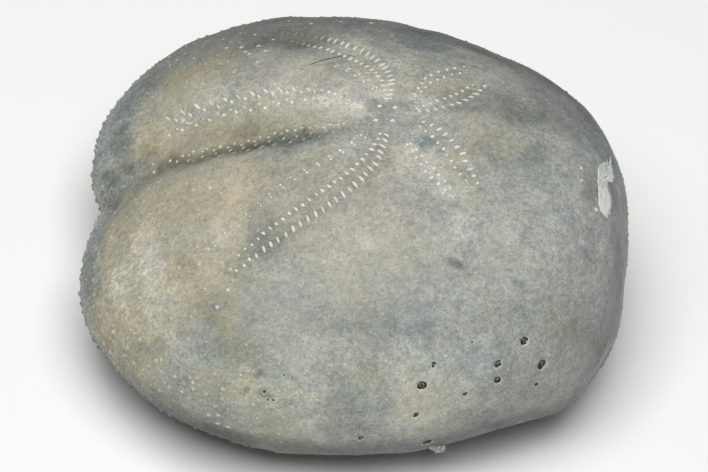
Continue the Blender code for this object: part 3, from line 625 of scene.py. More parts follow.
# The dark streaks along the front groove and along the rims are painted shade; the rest is the stone's
# tone.
LIGHT_STREAKS = (
    (-92, -2, -84, 6, 5.0, -0.18), (-80, -2, -62, 3, 3.5, -0.22), (-62, 2, -50, -9, 3.2, -0.18),
    (-45, -5, -22, -7, 3.6, -0.20), (-16, -5, -14, -5, 2.0, -0.20), (-88, -4, -76, -14, 3.0, -0.12),
    (3, 2, 4, 2, 2.0, 0.22), (-4, 3, -5, 4, 1.8, 0.16), (-2, 14, -1, 16, 2.6, 0.16),
    (15, 32, 16, 30, 3.0, 0.28), (-11, 31, -9, 29, 3.0, 0.18), (-74, 12, -68, 18, 3.0, 0.18),
    (-30, 48, -22, 46, 3.0, 0.16), (34, 24, 36, 22, 3.0, 0.18), (22, 27, 22, 25, 2.5, 0.14),
    (42, -28, 44, -30, 3.5, -0.14), (27, -5, 28, -5, 2.5, -0.12), (31, -13, 32, -14, 2.5, -0.12),
    (5, -19, 8, -20, 3.0, 0.14), (64, 0, 74, -18, 4.5, -0.12), (80, -36, 88, -44, 6.0, -0.10),
    (-78, -16, -76, -30, 3.0, -0.14), (-80, -40, -74, -60, 3.5, -0.08), (-40, -96, -44, -98, 4.0, -0.16),
    (62, -50, 66, -50, 3.0, -0.12), (-2, -114, -4, -114, 3.0, -0.20), (27, -104, 32, -108, 4.0, 0.14),
    (-68, 30, -60, 40, 5.0, -0.26), (-79, 8, -74, 20, 4.0, -0.28), (-86, 4, -85, 10, 3.0, -0.14),
    (-86, -3, -77, -14, 4.0, -0.34), (-28, 37, -17, 30, 4.0, -0.30), (-38, 36, -35, 33, 4.0, -0.14),
    (34, 24, 46, 14, 7.0, -0.34), (17, 34, 24, 30, 4.0, -0.26), (-60, -7, -17, -10, 3.0, -0.18),
    (-30, -8, -16, -7, 2.4, -0.14), (66, -20, 88, -34, 8.0, -0.14), (56, -40, 88, -44, 6.0, -0.12),
    (50, -88, 62, -90, 6.0, -0.26), (60, -80, 74, -78, 6.0, -0.14), (-58, -84, -54, -88, 5.0, -0.24),
    (-50, -94, -38, -106, 6.0, -0.38), (-26, -100, -26, -106, 4.0, 0.14), (-16, -102, -10, -104, 4.0, 0.14),
    (2, -108, 12, -108, 4.0, 0.12), (18, -80, 20, -100, 5.0, 0.12), (28, -90, 36, -104, 5.0, 0.18),
    (-46, -63, -44, -65, 3.0, 0.16), (-56, -72, -52, -71, 3.5, 0.16), (-28, -73, -24, -78, 3.5, 0.16),
    (-22, -64, -21, -68, 2.5, 0.16), (-15, -73, -13, -78, 3.0, 0.12), (-6, -79, -4, -79, 2.4, 0.14),
    (-56, -41, -50, -46, 3.0, 0.12), (-67, -32, -64, -37, 2.5, 0.12), (7, -6, 11, -20, 3.5, 0.18),
    (-26, 10, -18, 17, 4.0, 0.14), (-28, 5, -26, 5, 2.5, 0.12), (-6, 2, -4, -1, 2.2, 0.22),
    (3, 19, 5, 16, 2.4, 0.18), (-52, 18, -42, 16, 3.0, 0.08), (-27, -38, -22, -34, 3.0, -0.14),
    (-42, -42, -42, -47, 1.8, -0.14), (17, -9, 20, -12, 2.2, -0.20), (-16, -6, -14, -7, 1.8, -0.18),
    (-76, 8, -60, -1, 4.0, -0.20), (-68, -12, -64, -15, 3.0, -0.12), (-3, 30, -2, 28, 2.6, -0.16),
    (44, 6, 48, 7, 2.5, -0.14), (40, -6, 41, -10, 2.0, -0.14), (16, -28, 14, -31, 2.5, 0.10),
    (-59, 42, -54, 32, 5.0, -0.16), (-44, 44, -44, 35, 2.4, -0.14), (-38, 33, -36, 31, 3.0, -0.12),
    (-32, 40, -31, 34, 1.6, -0.18), (-88, 19, -72, 20, 3.5, -0.14), (-86, 7, -85, 8, 3.0, -0.12),
    (-77, 2, -72, 8, 3.0, -0.14), (-90, -1, -68, -20, 2.2, -0.16), (-80, -34, -74, -44, 4.0, -0.22),
    (-76, -70, -68, -76, 4.0, -0.14), (-56, -88, -40, -102, 5.0, -0.18), (-7, -115, 2, -115, 4.0, -0.20),
    (50, -93, 62, -91, 3.5, -0.18), (52, -2, 58, -12, 5.0, -0.14), (50, 8, 60, 4, 4.0, -0.14),
    (36, 26, 44, 18, 4.5, -0.34), (18, 34, 23, 31, 3.0, -0.26), (-50, -2, -43, -3, 3.0, 0.18),
    (-9, -11, -6, -15, 2.4, 0.14), (10, -21, 11, -22, 1.6, -0.18), (26, 6, 33, 10, 3.5, -0.12),
    (-41, -61, -40, -65, 2.5, -0.14), (68, -68, 75, -69, 3.0, -0.12), (-20, -6, -18, -4, 1.8, 0.14),
    (43, -8, 43, 1, 0.8, -0.28), (50, 0, 51, -6, 2.2, -0.20), (-46, 21, -40, 17, 3.5, 0.12),
    (-61, 16, -60, 14, 2.5, 0.12), (-15, 4, -9, 4, 3.0, 0.14),
    (-22, 34, -19, 30, 2.0, -0.20), (-43, 31, -42, 29, 1.8, -0.14), (-31, 36, -30, 31, 1.4, -0.14),
    (-71, 14, -69, 10, 2.0, -0.14), (-78, 20, -75, 20, 2.0, -0.16), (-66, 3, -60, 5, 2.4, -0.14),
    (-82, 8, -80, 5, 1.6, 0.20), (-73, -26, -69, -31, 1.6, 0.18), (-36, -9, -35, -9, 1.6, -0.14),
    (-28, -8, -24, -8, 2.0, -0.16), (3, 41, 7, 37, 2.0, -0.18), (49, 10, 55, 8, 2.2, -0.16),
    (41, 22, 43, 19, 1.6, 0.14), (47, 15, 49, 10, 1.4, 0.14), (13, 33, 16, 32, 3.0, 0.16),
    (54, -14, 62, -14, 4.0, -0.08), (82, -43, 88, -43, 3.0, -0.14), (60, -42, 80, -42, 4.0, -0.08),
    (43, -50, 45, -50, 1.8, -0.16), (36, -52, 39, -56, 1.6, 0.14), (22, -55, 28, -57, 1.8, 0.12),
    (52, -60, 54, -62, 1.8, -0.16), (18, -74, 19, -74, 1.4, 0.16), (30, -70, 31, -72, 1.6, -0.14),
    (18, -62, 22, -64, 1.6, -0.14), (7, -50, 10, -51, 1.4, 0.14), (1, -49, 2, -51, 1.2, -0.16),
    (-39, -53, -38, -53, 1.4, 0.14), (-52, -83, -50, -83, 1.8, -0.14), (-39, -87, -37, -85, 1.8, -0.16),
    (-68, -60, -60, -62, 3.0, 0.10), (-62, -48, -61, -54, 2.5, 0.10), (26, -108, 30, -111, 2.6, 0.14),
    (74, -74, 88, -70, 3.0, 0.12), (-50, 50, -36, 52, 4.0, 0.12), (22, -12, 25, -12, 1.6, -0.14),
    (21, -19, 21, -20, 1.4, -0.14), (43, -6, 44, 1, 1.6, 0.12), (40, -8, 40, -9, 1.4, -0.12),
    (50, -1, 51, -9, 1.5, -0.16), (53, -12, 54, -16, 1.6, -0.10), (-46, -100, -36, -106, 4.0, -0.12),
    (-66, -86, -41, -113, 3.5, -0.28), (-70, -72, -64, -84, 2.0, -0.16),
    (-1, 9, 0, 6, 2.0, 0.20), (6, 5, 8, 4, 2.2, 0.20), (-8, 28, -3, 23, 2.0, 0.12),
    (-56, -34, -50, -50, 4.0, 0.18), (-62, -43, -60, -51, 3.5, 0.14), (-31, -17, -30, -29, 3.5, 0.14),
    (-35, -32, -33, -38, 2.2, 0.14), (16, -27, 17, -31, 2.5, 0.18), (-15, -93, -12, -96, 3.5, 0.12),
    (-20, -96, -19, -97, 2.5, 0.12), (52, -60, 64, -64, 3.0, 0.08), (31, 2, 34, -1, 2.5, 0.12),
    (30, -16, 32, -18, 1.6, 0.14), (39, -24, 40, -24, 1.4, 0.14), (51, -20, 53, -22, 2.0, 0.12),
    (-13, 19, -10, 21, 2.0, -0.12), (-2, 3, 3, 3, 2.2, -0.38), (26, -57, 29, -57, 1.8, 0.12),
    (14, -65, 15, -65, 1.6, 0.12), (33, -73, 34, -75, 2.0, 0.10), (26, -60, 20, -63, 3.0, 0.06),
    (-46, -61, -45, -60, 1.5, 0.14), (-51, -55, -50, -56, 1.4, 0.12), (-2, -34, -1, -38, 1.6, 0.12),
    (12, -8, 16, -11, 1.8, 0.10), (-6, -10, -5, -9, 1.4, 0.12), (40, 22, 36, 18, 3.0, 0.10),
    (-58, -3, -31, -8, 2.6, -0.34), (-52, -6, -44, -7, 2.0, -0.10), (-36, 2, -33, 1, 3.5, -0.26),
    (-84, 6, -84, 10, 2.5, -0.16), (-77, 10, -75, 14, 2.5, -0.16), (-75, 20, -73, 20, 3.0, -0.14),
    (-32, -64, -30, -65, 3.0, -0.12), (-32, -55, -30, -55, 1.8, -0.12), (-4, -59, -2, -59, 2.0, -0.14),
    (5, -55, 6, -56, 2.5, -0.14), (12, -58, 14, -56, 2.0, -0.14), (34, -46, 36, -48, 2.2, -0.14),
    (-53, -66, -50, -66, 3.0, -0.18), (-2, -73, -2, -82, 2.2, -0.14), (3, -95, 5, -106, 3.5, -0.12),
    (5, -103, 8, -105, 1.6, -0.12), (22, 4, 25, 3, 2.2, -0.14), (29, 14, 30, 17, 2.0, -0.12),
    (28, -5, 27, -8, 2.2, -0.24), (22, -8, 25, -10, 3.0, -0.12), (19, -3, 18, -7, 1.8, -0.12),
    (41, -6, 42, -9, 2.2, -0.18), (46, -13, 47, -28, 2.0, -0.12), (56, -46, 84, -44, 3.0, -0.14),
    (17, -38, 18, -38, 1.1, -0.55), (31, -38, 32, -39, 0.9, -0.25), (9, -8, 8, -9, 1.5, -0.55),
    (-20, -24, -14, -22, 2.5, -0.10), (-9, -28, -14, -30, 1.6, -0.10), (4, -44, 6, -46, 2.0, -0.12),
    (-41, -43, -43, -42, 2.0, -0.14), (-31, -45, -29, -46, 1.8, -0.14), (12, -88, 10, -84, 1.6, -0.12),
    (20, -76, 18, -78, 2.0, -0.14), (-32, 36, -27, 38, 3.0, -0.16), (-20, 30, -18, 31, 2.5, -0.14),
    (-8, 40, -6, 41, 3.5, -0.14), (5, 30, 8, 28, 3.0, -0.20), (4, 37, 8, 37, 3.0, -0.20),
    (-23, -73, -24, -74, 1.0, -0.50), (-23, -79, -22, -80, 1.1, -0.60), (-26, -78, -27, -79, 1.0, -0.50),
    (-17, -74, -16, -75, 0.8, -0.40), (5, -97, 7, -98, 1.4, -0.30), (-62, 38, -61, 36, 2.0, -0.14),
    (-66, -13, -71, -18, 2.6, -0.16), (30, 80, 40, 84, 8.0, 0.12), (-60, 50, -52, 56, 6.0, 0.10),
    (70, 60, 62, 66, 8.0, 0.12), (50, 45, 58, 40, 7.0, -0.12), (-45, 75, -38, 82, 8.0, -0.12),
    (80, 10, 84, 18, 7.0, -0.12), (40, 100, 52, 96, 9.0, -0.14), (-80, 6, -82, 2, 4.0, -0.10),
)

# %% Green and pink streaks
ROSE_BASE = 0.04
ROSE_STREAKS = (
    (-24, 14, -8, 6, 8.0, 0.65), (-12, 3, -8, 2, 4.0, 0.35), (3, -8, 3, -20, 6.0, 0.55),
    (8, -14, 15, -11, 4.0, 0.40), (2, -24, -8, -34, 6.0, 0.55), (-14, -36, -12, -36, 4.0, 0.35),
    (-36, 28, -30, 22, 6.0, 0.35), (0, 8, 14, 4, 6.0, 0.30), (28, 19, 36, 10, 6.0, 0.50),
    (43, 6, 44, 3, 3.0, 0.50), (46, -16, 46, -26, 6.0, 0.40), (-55, -38, -54, -40, 5.0, 0.40),
    (-48, -54, -47, -58, 5.0, 0.40), (-64, -45, -63, -46, 4.0, 0.40), (-12, -18, -10, -18, 6.0, 0.30),
    (-32, -24, -28, -30, 6.0, 0.30), (0, -20, 40, -24, 16.0, 0.12), (-20, -8, -18, -8, 4.0, -0.55),
    (-23, -38, -22, -39, 4.0, -0.60), (-34, -66, -31, -64, 5.0, -0.80), (-28, -60, -24, -58, 5.0, -0.45),
    (-3, -57, 5, -56, 5.0, -0.45), (2, -68, 1, -88, 5.0, -0.40), (-28, -100, -24, -102, 6.0, -0.45),
    (-60, -78, -52, -84, 9.0, -0.40), (-81, 6, -74, -14, 7.0, -0.55), (-88, 8, -86, 2, 5.0, -0.40),
    (-40, -96, -10, -100, 12.0, -0.30), (-24, -76, -20, -86, 6.0, -0.35), (48, -46, 49, -46, 5.0, -0.40),
    (-16, 50, -14, 50, 6.0, -0.50), (-46, 40, -44, 38, 6.0, -0.35), (-76, -40, -75, -36, 5.0, -0.40),
    (-50, -65, -48, -66, 4.0, -0.35), (-20, -70, 20, -66, 14.0, -0.20), (2, -104, 4, -104, 5.0, -0.30),
    (-30, 70, -10, 90, 16.0, -0.30), (60, 40, 70, 60, 14.0, 0.30), (30, -125, 60, -120, 14.0, 0.30),
)

# %% Painted shade of whole sides
# A painted shade is a span in degrees over which it sets in and its lightness; a fade is the span over
# which it goes again. The far side and the lower rim are darkened with painted shade, and both ends
# have drawn-out strands.
FAR_PAINTED_SHADE = (21.0, 46.0, -0.80)
FAR_SLANT = 0.22
FAR_FADE = (70.0, 115.0)
LOW_PAINTED_SHADE = (103.0, 115.0, -0.70)
LOW_FADE = (118.0, 142.0)
LOW_FADE_SHARE = 0.75
EDGE_WANDER = 1.4
END_SPAN = (58.0, 72.0)
END_HALF_ANGLE = (0.5, 0.8)
REAR_END_SHARE = 0.6
# Painted shade along the sunk pore rows of the petals: the row, its width and its depth.
ROW_PAINTED_SHADES = (
    (FRONT_HIND_OUTER, 0.55, 0.16), (FRONT_HIND_INNER, 0.45, 0.12),
    (REAR_HIND_OUTER, 0.5, 0.10), (REAR_HIND_INNER, 0.4, 0.08),
)


# %% Zone functions
def unit(vectors):
    """Vectors scaled to length one."""
    return vectors / np.maximum(np.linalg.norm(vectors, axis=-1, keepdims=True), 1e-12)


def chart(p):
    """Chart of the test, in degrees from the apex: place = angle x (cos azimuth, sin azimuth)."""
    plan = p[..., :2] / (HALF_LENGTH, HALF_WIDTH)
    rise = p[..., 2] - AMBITUS_HEIGHT
    rise = rise / np.where(rise > 0.0, TOP_HEIGHT - AMBITUS_HEIGHT, AMBITUS_HEIGHT)
    angle = np.degrees(np.arctan2(np.linalg.norm(plan, axis=-1), rise))
    return angle[..., None] * unit(plan)


def smooth(value, low, high):
    """Smooth step, 3t^2 - 2t^3 with t from 0 at low to 1 at high."""
    t = np.clip((value - low) / (high - low), 0.0, 1.0)
    return t * t * (3.0 - 2.0 * t)


def inside(corners, place, edge):
    """1 inside an outline, 0 outside: smooth step of the signed distance to its nearest side."""
    corners = np.array(corners, dtype=float)
    nearest = np.full(place.shape[:-1], np.inf)
    within = np.zeros(place.shape[:-1], dtype=bool)
    for first, second in zip(corners, np.roll(corners, -1, axis=0)):
        side, offset = second - first, place - first
        share = np.clip(offset @ side / (side @ side), 0.0, 1.0)
        nearest = np.minimum(nearest, np.linalg.norm(offset - share[..., None] * side, axis=-1))
        spans = (first[1] > place[..., 1]) != (second[1] > place[..., 1])
        rise = side[1] if side[1] != 0.0 else 1e-9
        within ^= spans & (place[..., 0] < first[0] + side[0] * offset[..., 1] / rise)
    return smooth(np.where(within, nearest, -nearest), -edge, edge)


def zone(base, areas, streaks, place):
    """Areas and streaks of the chart added up over a base value."""
    total = np.full(place.shape[:-1], base)
    for strength, edge, corners in areas:
        total += strength * inside(corners, place, edge)
    for first_x, first_y, last_x, last_y, radius, strength in streaks:
        first, last = np.array((first_x, first_y)), np.array((last_x, last_y))
        offset, side = place - first, last - first
        share = np.clip(offset @ side / (side @ side), 0.0, 1.0)
        away = np.linalg.norm(offset - share[..., None] * side, axis=-1)
        total += strength * np.exp(-((away / radius) ** 3))
    return total


def row_painted_shade(p):
    """Painted shade along the petals' hind rows and between them, over the sunk pore zones."""
    shade = np.zeros(p.shape[:-1])
    for row, width, depth in ROW_PAINTED_SHADES:
        away, along = row_distance(row, p)
        ends = smooth(along, -0.05, 0.15) * smooth(1.05 - along, 0.0, 0.2)
        shade -= depth * ends * hill(away, width)
    return shade * (p[..., 2] > AMBITUS_HEIGHT)


def stone_zones(points):
    """Warmth, lightness, rose tint and share of end strands for points over the solid."""
    p = points - shift
    ragged = np.stack([waves(outline_bank, p, turn) for turn in (0.0, 1.9)], axis=-1)
    place = chart(p) + EDGE_WANDER * ragged
    reach = np.linalg.norm(place, axis=-1)
    # Painted shade: the far side and the lower rim are darkened, and both fade out on the underside.
    far = smooth(place[..., 1] + FAR_SLANT * place[..., 0], *FAR_PAINTED_SHADE[:2])
    far *= 1.0 - smooth(reach, *FAR_FADE)
    low = smooth(reach, *LOW_PAINTED_SHADE[:2]) * (1.0 - LOW_FADE_SHARE * smooth(reach, *LOW_FADE))
    warm = zone(WARM_BASE, WARM_AREAS, WARM_STREAKS, place)
    light = zone(0.0, LIGHT_AREAS, LIGHT_STREAKS, place) + FAR_PAINTED_SHADE[2] * far + LOW_PAINTED_SHADE[2] * low
    light += row_painted_shade(p)
    end_on = smooth(np.abs(unit(place)[..., 0]), *END_HALF_ANGLE)
    end_on = end_on * np.where(place[..., 0] > 0.0, REAR_END_SHARE, 1.0)
    ends = smooth(reach, *END_SPAN) * end_on
    rose = zone(ROSE_BASE, (), ROSE_STREAKS, place)
    return {"warm": warm, "light": light, "rose": rose, "ends": ends}


# %% [markdown]
# ## Stone
# The material reads the zone attributes and adds noise to warmth and lightness, from clouds of three
# millimetres down to dust of a tenth. It mixes slate and beige by the warmth, multiplies by
# e^lightness, which holds painted shade as well as the stone's tone, tints the stone a little towards
# green or pink by rose, and strews dark specks over it. The same grain drives the bump and a little of
# the roughness. A paleness attribute makes pore fillings and the tops of tubercles paler, on tubercles
# partly a painted highlight; hollow paints shade into the holes of the genital pores; and ends turns
# on drawn-out strands at both ends. The pits are part of the material too, as rims of painted shade and
# olive floors round their middles.

# %% Node helpers
def add_node(tree, kind, inputs=None, **settings):
    """Add a node, set its fields, and set or link its inputs."""
    node = tree.nodes.new(kind)
    for key, value in settings.items():
        setattr(node, key, value)
    for key, value in (inputs or {}).items():
        if isinstance(value, bpy.types.NodeSocket):
            tree.links.new(value, node.inputs[key])
        else:
            node.inputs[key].default_value = value
    return node


def noise(tree, where, size_mm, detail=4.0, roughness=0.55):
    """Noise with features of about a size in millimetres, as a value around one half."""
    inputs = {"Vector": where, "Scale": 1.0 / (size_mm * MM), "Detail": detail, "Roughness": roughness}
    return add_node(tree, "ShaderNodeTexNoise", inputs).outputs["Fac"]


def math_node(tree, operation, first, second=0.0, third=0.0):
    """A Math node; clamped results are made with remap."""
    node = add_node(tree, "ShaderNodeMath", {0: first, 1: second, 2: third}, operation=operation)
    return node.outputs[0]


def remap(tree, value, low, high, to_low=0.0, to_high=1.0):
    """Smooth step of a value from one range to another."""
    inputs = {"Value": value, "From Min": low, "From Max": high, "To Min": to_low, "To Max": to_high}
    return add_node(tree, "ShaderNodeMapRange", inputs, interpolation_type="SMOOTHSTEP").outputs[0]


def blend_colours(tree, share, first, second, mode="MIX"):
    """Mix two colours by a share."""
    node = add_node(tree, "ShaderNodeMix", data_type="RGBA", blend_type=mode)
    for socket, value in ((node.inputs[0], share), (node.inputs[6], first), (node.inputs[7], second)):
        if isinstance(value, bpy.types.NodeSocket):
            tree.links.new(value, socket)
        else:
            socket.default_value = value
    return node.outputs[2]


def attribute(tree, name):
    """A point attribute as a value."""
    return add_node(tree, "ShaderNodeAttribute", attribute_name=name).outputs["Fac"]


def new_material(name, roughness, **fixed):
    """A Principled material, its node tree and its shader, with fixed socket values."""
    material = bpy.data.materials.new(name)
    material.use_nodes = True
    tree = material.node_tree
    shader = tree.nodes["Principled BSDF"]
    shader.inputs["Roughness"].default_value = roughness
    for key, value in fixed.items():
        shader.inputs[key.replace("_", " ")].default_value = value
    return material, tree, shader


def plain_material(name, roughness, colour):
    """A Principled material of one colour."""
    material, _, shader = new_material(name, roughness)
    shader.inputs["Base Color"].default_value = colour
    return material


def add_bump(tree, shader, height, strength, depth_mm):
    """Roughen a shader's normal by a height field."""
    fields = {"Height": height, "Strength": strength, "Distance": depth_mm * MM}
    tree.links.new(add_node(tree, "ShaderNodeBump", fields).outputs["Normal"], shader.inputs["Normal"])


# %% Stone material
SLATE = (0.283, 0.321, 0.314, 1.0)
BEIGE = (0.346, 0.315, 0.222, 1.0)
UMBER = (0.120, 0.108, 0.070, 1.0)
PALE_CREAM = (0.780, 0.755, 0.655, 1.0)
GREENISH = (0.930, 1.028, 0.930, 1.0)
ROSY = (1.075, 0.972, 1.075, 1.0)
# Near-black painted shade for the pit walls and the holes of the genital pores.
PAINTED_HOLE_SHADE = (0.030, 0.029, 0.020, 1.0)
ROSE_MIDDLE, ROSE_SHARE = 0.5, 0.25
STONE_NOISE = {
    "clouds": (3.0, 4.0, 0.55), "drift": (2.3, 4.0, 0.55), "mottle": (1.2, 5.0, 0.65),
    "blotch": (0.55, 3.0, 0.6), "grain": (0.30, 3.0, 0.55), "dust": (0.10, 2.0, 0.55),
}
WARM_NOISE = {"drift": 0.45, "mottle": 0.35, "blotch": 0.3}
LIGHT_NOISE = {"clouds": 0.35, "mottle": 0.75, "blotch": 0.75, "grain": 0.66, "dust": 1.15}
SLATE_ROUGH, BEIGE_ROUGH = 1.18, 0.80
DRAWN_OUT = (1.0, 1.0, 0.14)
STRAND_SIZE, STRAND_STRENGTH = 0.34, 1.1
SPECKS = ((0.55, 0.64, 0.45), (0.22, 0.64, 0.55))
SPECK_EDGE = 0.09
PIT_RIPPLE_SIZE, PIT_RIPPLE = 0.30, 0.18
PIT_HALO, PIT_HALO_SHARE = (-0.14, -0.03), 0.35
# Span of the near-black rim, painted shade on each pit's wall.
PIT_RIM = (-0.03, 0.02)
PIT_FLOOR_EDGE = (0.08, 0.13)
PIT_GRAIN_SIZE, PIT_GRAINS = 0.16, (0.42, 0.56)
PIT_FLOOR = (0.235, 0.220, 0.138, 1.0)


def waver(tree, value, *layers):
    """A value with layers of noise added, each centred on zero and scaled by its amount."""
    for layer, amount in layers:
        value = math_node(tree, "ADD", value, math_node(tree, "MULTIPLY_ADD", layer, amount, -amount / 2))
    return value


def pit_depth_field(tree, where):
    """Depth inside the nearest pit's outline in millimetres: max of (radius - distance) + noise."""
    depth = -1.0
    for middle, radius in zip(pit_middle + shift, pit_radius):
        vectors = {0: where, 1: tuple(middle * MM)}
        away = add_node(tree, "ShaderNodeVectorMath", vectors, operation="DISTANCE").outputs["Value"]
        inside_mm = math_node(tree, "MULTIPLY_ADD", away, -1.0 / MM, float(radius))
        depth = math_node(tree, "MAXIMUM", inside_mm, depth)
    return waver(tree, depth, (noise(tree, where, PIT_RIPPLE_SIZE, detail=1.0), PIT_RIPPLE))


def pit_colour(tree, where, colour):
    """Pits over a colour: pale halo, near-black rim of painted shade, olive floor with darker grains."""
    depth = pit_depth_field(tree, where)
    colour = blend_colours(tree, remap(tree, depth, *PIT_HALO, 0.0, PIT_HALO_SHARE), colour, PALE_CREAM)
    # Near-black rim: painted shade on the pit wall.
    colour = blend_colours(tree, remap(tree, depth, *PIT_RIM), colour, PAINTED_HOLE_SHADE)
    floor = remap(tree, depth, *PIT_FLOOR_EDGE)
    grains = remap(tree, noise(tree, where, PIT_GRAIN_SIZE, detail=1.0), *PIT_GRAINS)
    return blend_colours(tree, math_node(tree, "MULTIPLY", floor, grains), colour, PIT_FLOOR)


def stone_colour(tree, where):
    """Colour of the stone: a mix by warmth times e^lightness, then a tint, specks, paleness and painted
    highlight.
    """
    layers = {name: noise(tree, where, *sizes) for name, sizes in STONE_NOISE.items()}
    warm_layers = [(layers[name], amount) for name, amount in WARM_NOISE.items()]
    light_layers = [(layers[name], amount) for name, amount in LIGHT_NOISE.items()]
    warm = waver(tree, attribute(tree, "warm"), *warm_layers)
    share = add_node(tree, "ShaderNodeClamp", {"Value": warm}).outputs[0]
    rough = waver(tree, 0.0, *light_layers)
    amount = math_node(tree, "MULTIPLY_ADD", share, round(BEIGE_ROUGH - SLATE_ROUGH, 3), SLATE_ROUGH)
    light = math_node(tree, "MULTIPLY_ADD", rough, amount, attribute(tree, "light"))
    drawn = add_node(tree, "ShaderNodeVectorMath", {0: where, 1: DRAWN_OUT}, operation="MULTIPLY")
    strands = noise(tree, drawn.outputs["Vector"], STRAND_SIZE, detail=3.0, roughness=0.6)
    strands = waver(tree, 0.0, (strands, STRAND_STRENGTH))
    light = math_node(tree, "MULTIPLY_ADD", strands, attribute(tree, "ends"), light)
    tone = math_node(tree, "EXPONENT", light)
    shade = add_node(tree, "ShaderNodeCombineColor", {0: tone, 1: tone, 2: tone}).outputs[0]
    colour = blend_colours(tree, 1.0, blend_colours(tree, share, SLATE, BEIGE), shade, mode="MULTIPLY")
    rosy = math_node(tree, "MULTIPLY_ADD", attribute(tree, "rose"), ROSE_SHARE, ROSE_MIDDLE)
    tint = blend_colours(tree, rosy, GREENISH, ROSY)
    colour = blend_colours(tree, 1.0, colour, tint, mode="MULTIPLY")
    for size_mm, low, most in SPECKS:
        specks = remap(tree, noise(tree, where, size_mm, detail=2.0), low, low + SPECK_EDGE, 0.0, most)
        colour = blend_colours(tree, specks, colour, UMBER)
    # Pale cream on pore fillings and tubercle tops; on the tubercles partly a painted highlight.
    colour = blend_colours(tree, attribute(tree, "paleness_and_highlight"), colour, PALE_CREAM)
    # Painted shade in the holes of the genital pores.
    colour = blend_colours(tree, attribute(tree, "hollow"), colour, PAINTED_HOLE_SHADE)
    return pit_colour(tree, where, colour), layers["grain"]


def make_stone(name):
    """The stone of the shell and the tubercles."""
    material, tree, shader = new_material(name, 0.55, Specular_IOR_Level=0.35)
    where = add_node(tree, "ShaderNodeTexCoord").outputs["Object"]
    colour, grain = stone_colour(tree, where)
    tree.links.new(colour, shader.inputs["Base Color"])
    tree.links.new(remap(tree, grain, 0.3, 0.7, 0.48, 0.66), shader.inputs["Roughness"])
    dust = noise(tree, where, 0.12, detail=2.0)
    add_bump(tree, shader, math_node(tree, "MULTIPLY_ADD", dust, 0.5, grain), 0.45, 0.05)
    return material


stone = make_stone("stone_surface")

# %% [markdown]
# ## The shell piece
# The grid's rows should be evenly spaced along the surface, not in angle. The arc length of one
# meridian is summed up, weighted so that the hidden underside gets fewer rows, and inverted.

# %% Shell grid
SHELL_SIDES = 512
SHELL_ROWS = 194
UNDERSIDE_WEIGHT = 0.6
DENSE_SPANS = ((170.0, 200.0, 1.0), (245.0, 325.0, 1.2))


def even_rows(count, underside_weight):
    """Polar angles of rows that are evenly spaced along the near meridian."""
    fine = np.linspace(0.0, np.pi, 4001)
    line = bare_form(np.full_like(fine, -np.pi / 2), fine)
    steps = np.linalg.norm(np.diff(line, axis=0), axis=1)
    steps *= np.where(fine[1:] < np.pi / 2, 1.0, underside_weight)
    length = np.concatenate([[0.0], np.cumsum(steps)])
    return np.interp(np.linspace(0.0, length[-1], count + 2)[1:-1], length, fine)


def dense_columns(count):
    """Azimuths round the test, closer together where fine detail needs them."""
    fine = np.linspace(0.0, 2.0 * np.pi, 3601)
    density = np.ones(3600)
    for first, last, extra in DENSE_SPANS:
        density += extra * (np.degrees(fine[1:]) > first) * (np.degrees(fine[1:]) < last)
    filled = np.concatenate([[0.0], np.cumsum(density)])
    return np.interp(np.arange(count) / count * filled[-1], filled, fine)


azimuths = dense_columns(SHELL_SIDES)
grid_u, grid_v = np.meshgrid(azimuths, even_rows(SHELL_ROWS, UNDERSIDE_WEIGHT))
shell_rings = shell(grid_u, grid_v)
top_pole = shell(np.array(0.0), np.array(POLE_GAP))
base_pole = shell(np.array(0.0), np.array(np.pi - POLE_GAP))
shell_points, shell_quads, shell_tris = closed_grid(shell_rings, top_pole, base_pole)
shell_zones = stone_zones(shell_points)
shell_piece = make_piece("urchin_shell", shell_points, shell_quads, shell_tris, stone, shell_zones)
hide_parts(NODE)

# %% [markdown]
# ## Small shapes in large numbers
# Tubercles, granules and pore fillings are all the same thing: one small closed dome, repeated,
# turned to the surface and stretched. The copies are worked out as one array and joined into one
# mesh, which is far lighter than thousands of objects.

# %% Dome and scatter
DOME_SINK = -0.35


def dome(sides, heights):
    """Unit dome: rings at r = cos t, z = sin t for t = heights x 90 degrees, closed underneath."""
    turn = np.arange(sides) * 2.0 * np.pi / sides
    tilt = np.radians(90.0 * np.array(heights))[:, None]
    rings = np.stack([np.cos(tilt) * np.cos(turn), np.cos(tilt) * np.sin(turn),
                      np.sin(tilt) + 0.0 * turn], axis=-1)
    rings[-1, :, 2] = DOME_SINK
    return closed_grid(rings, (0.0, 0.0, 1.0), (0.0, 0.0, DOME_SINK))


def mound(sides, reaches):
    """Unit mound, z = (1 - r^2)^2, closed underneath."""
    turn = np.arange(sides) * 2.0 * np.pi / sides
    reach = np.array(reaches)[:, None]
    rings = np.stack([reach * np.cos(turn), reach * np.sin(turn), (1.0 - reach ** 2) ** 2 + 0.0 * turn],
                     axis=-1)
    rings[-1, :, 2] = DOME_SINK
    return closed_grid(rings, (0.0, 0.0, 1.0), (0.0, 0.0, DOME_SINK))


def repeat(shape, middles, normals, headings, sizes):
    """Copies of a shape at middles: its x along the heading, its z along the normal, each stretched."""
    points, quads, tris = shape
    along = unit(headings - (headings * normals).sum(-1, keepdims=True) * normals)
    across = np.cross(normals, along)
    axes = np.stack([along, across, normals], axis=1) * sizes[:, :, None]
    copies = middles[:, None] + points[None] @ axes
    start = (np.arange(len(middles)) * len(points))[:, None, None]
    copies[..., 2] = np.maximum(copies[..., 2], box_low[2])
    return (copies.reshape(-1, 3), (quads[None] + start).reshape(-1, 4),
            (tris[None] + start).reshape(-1, 3))


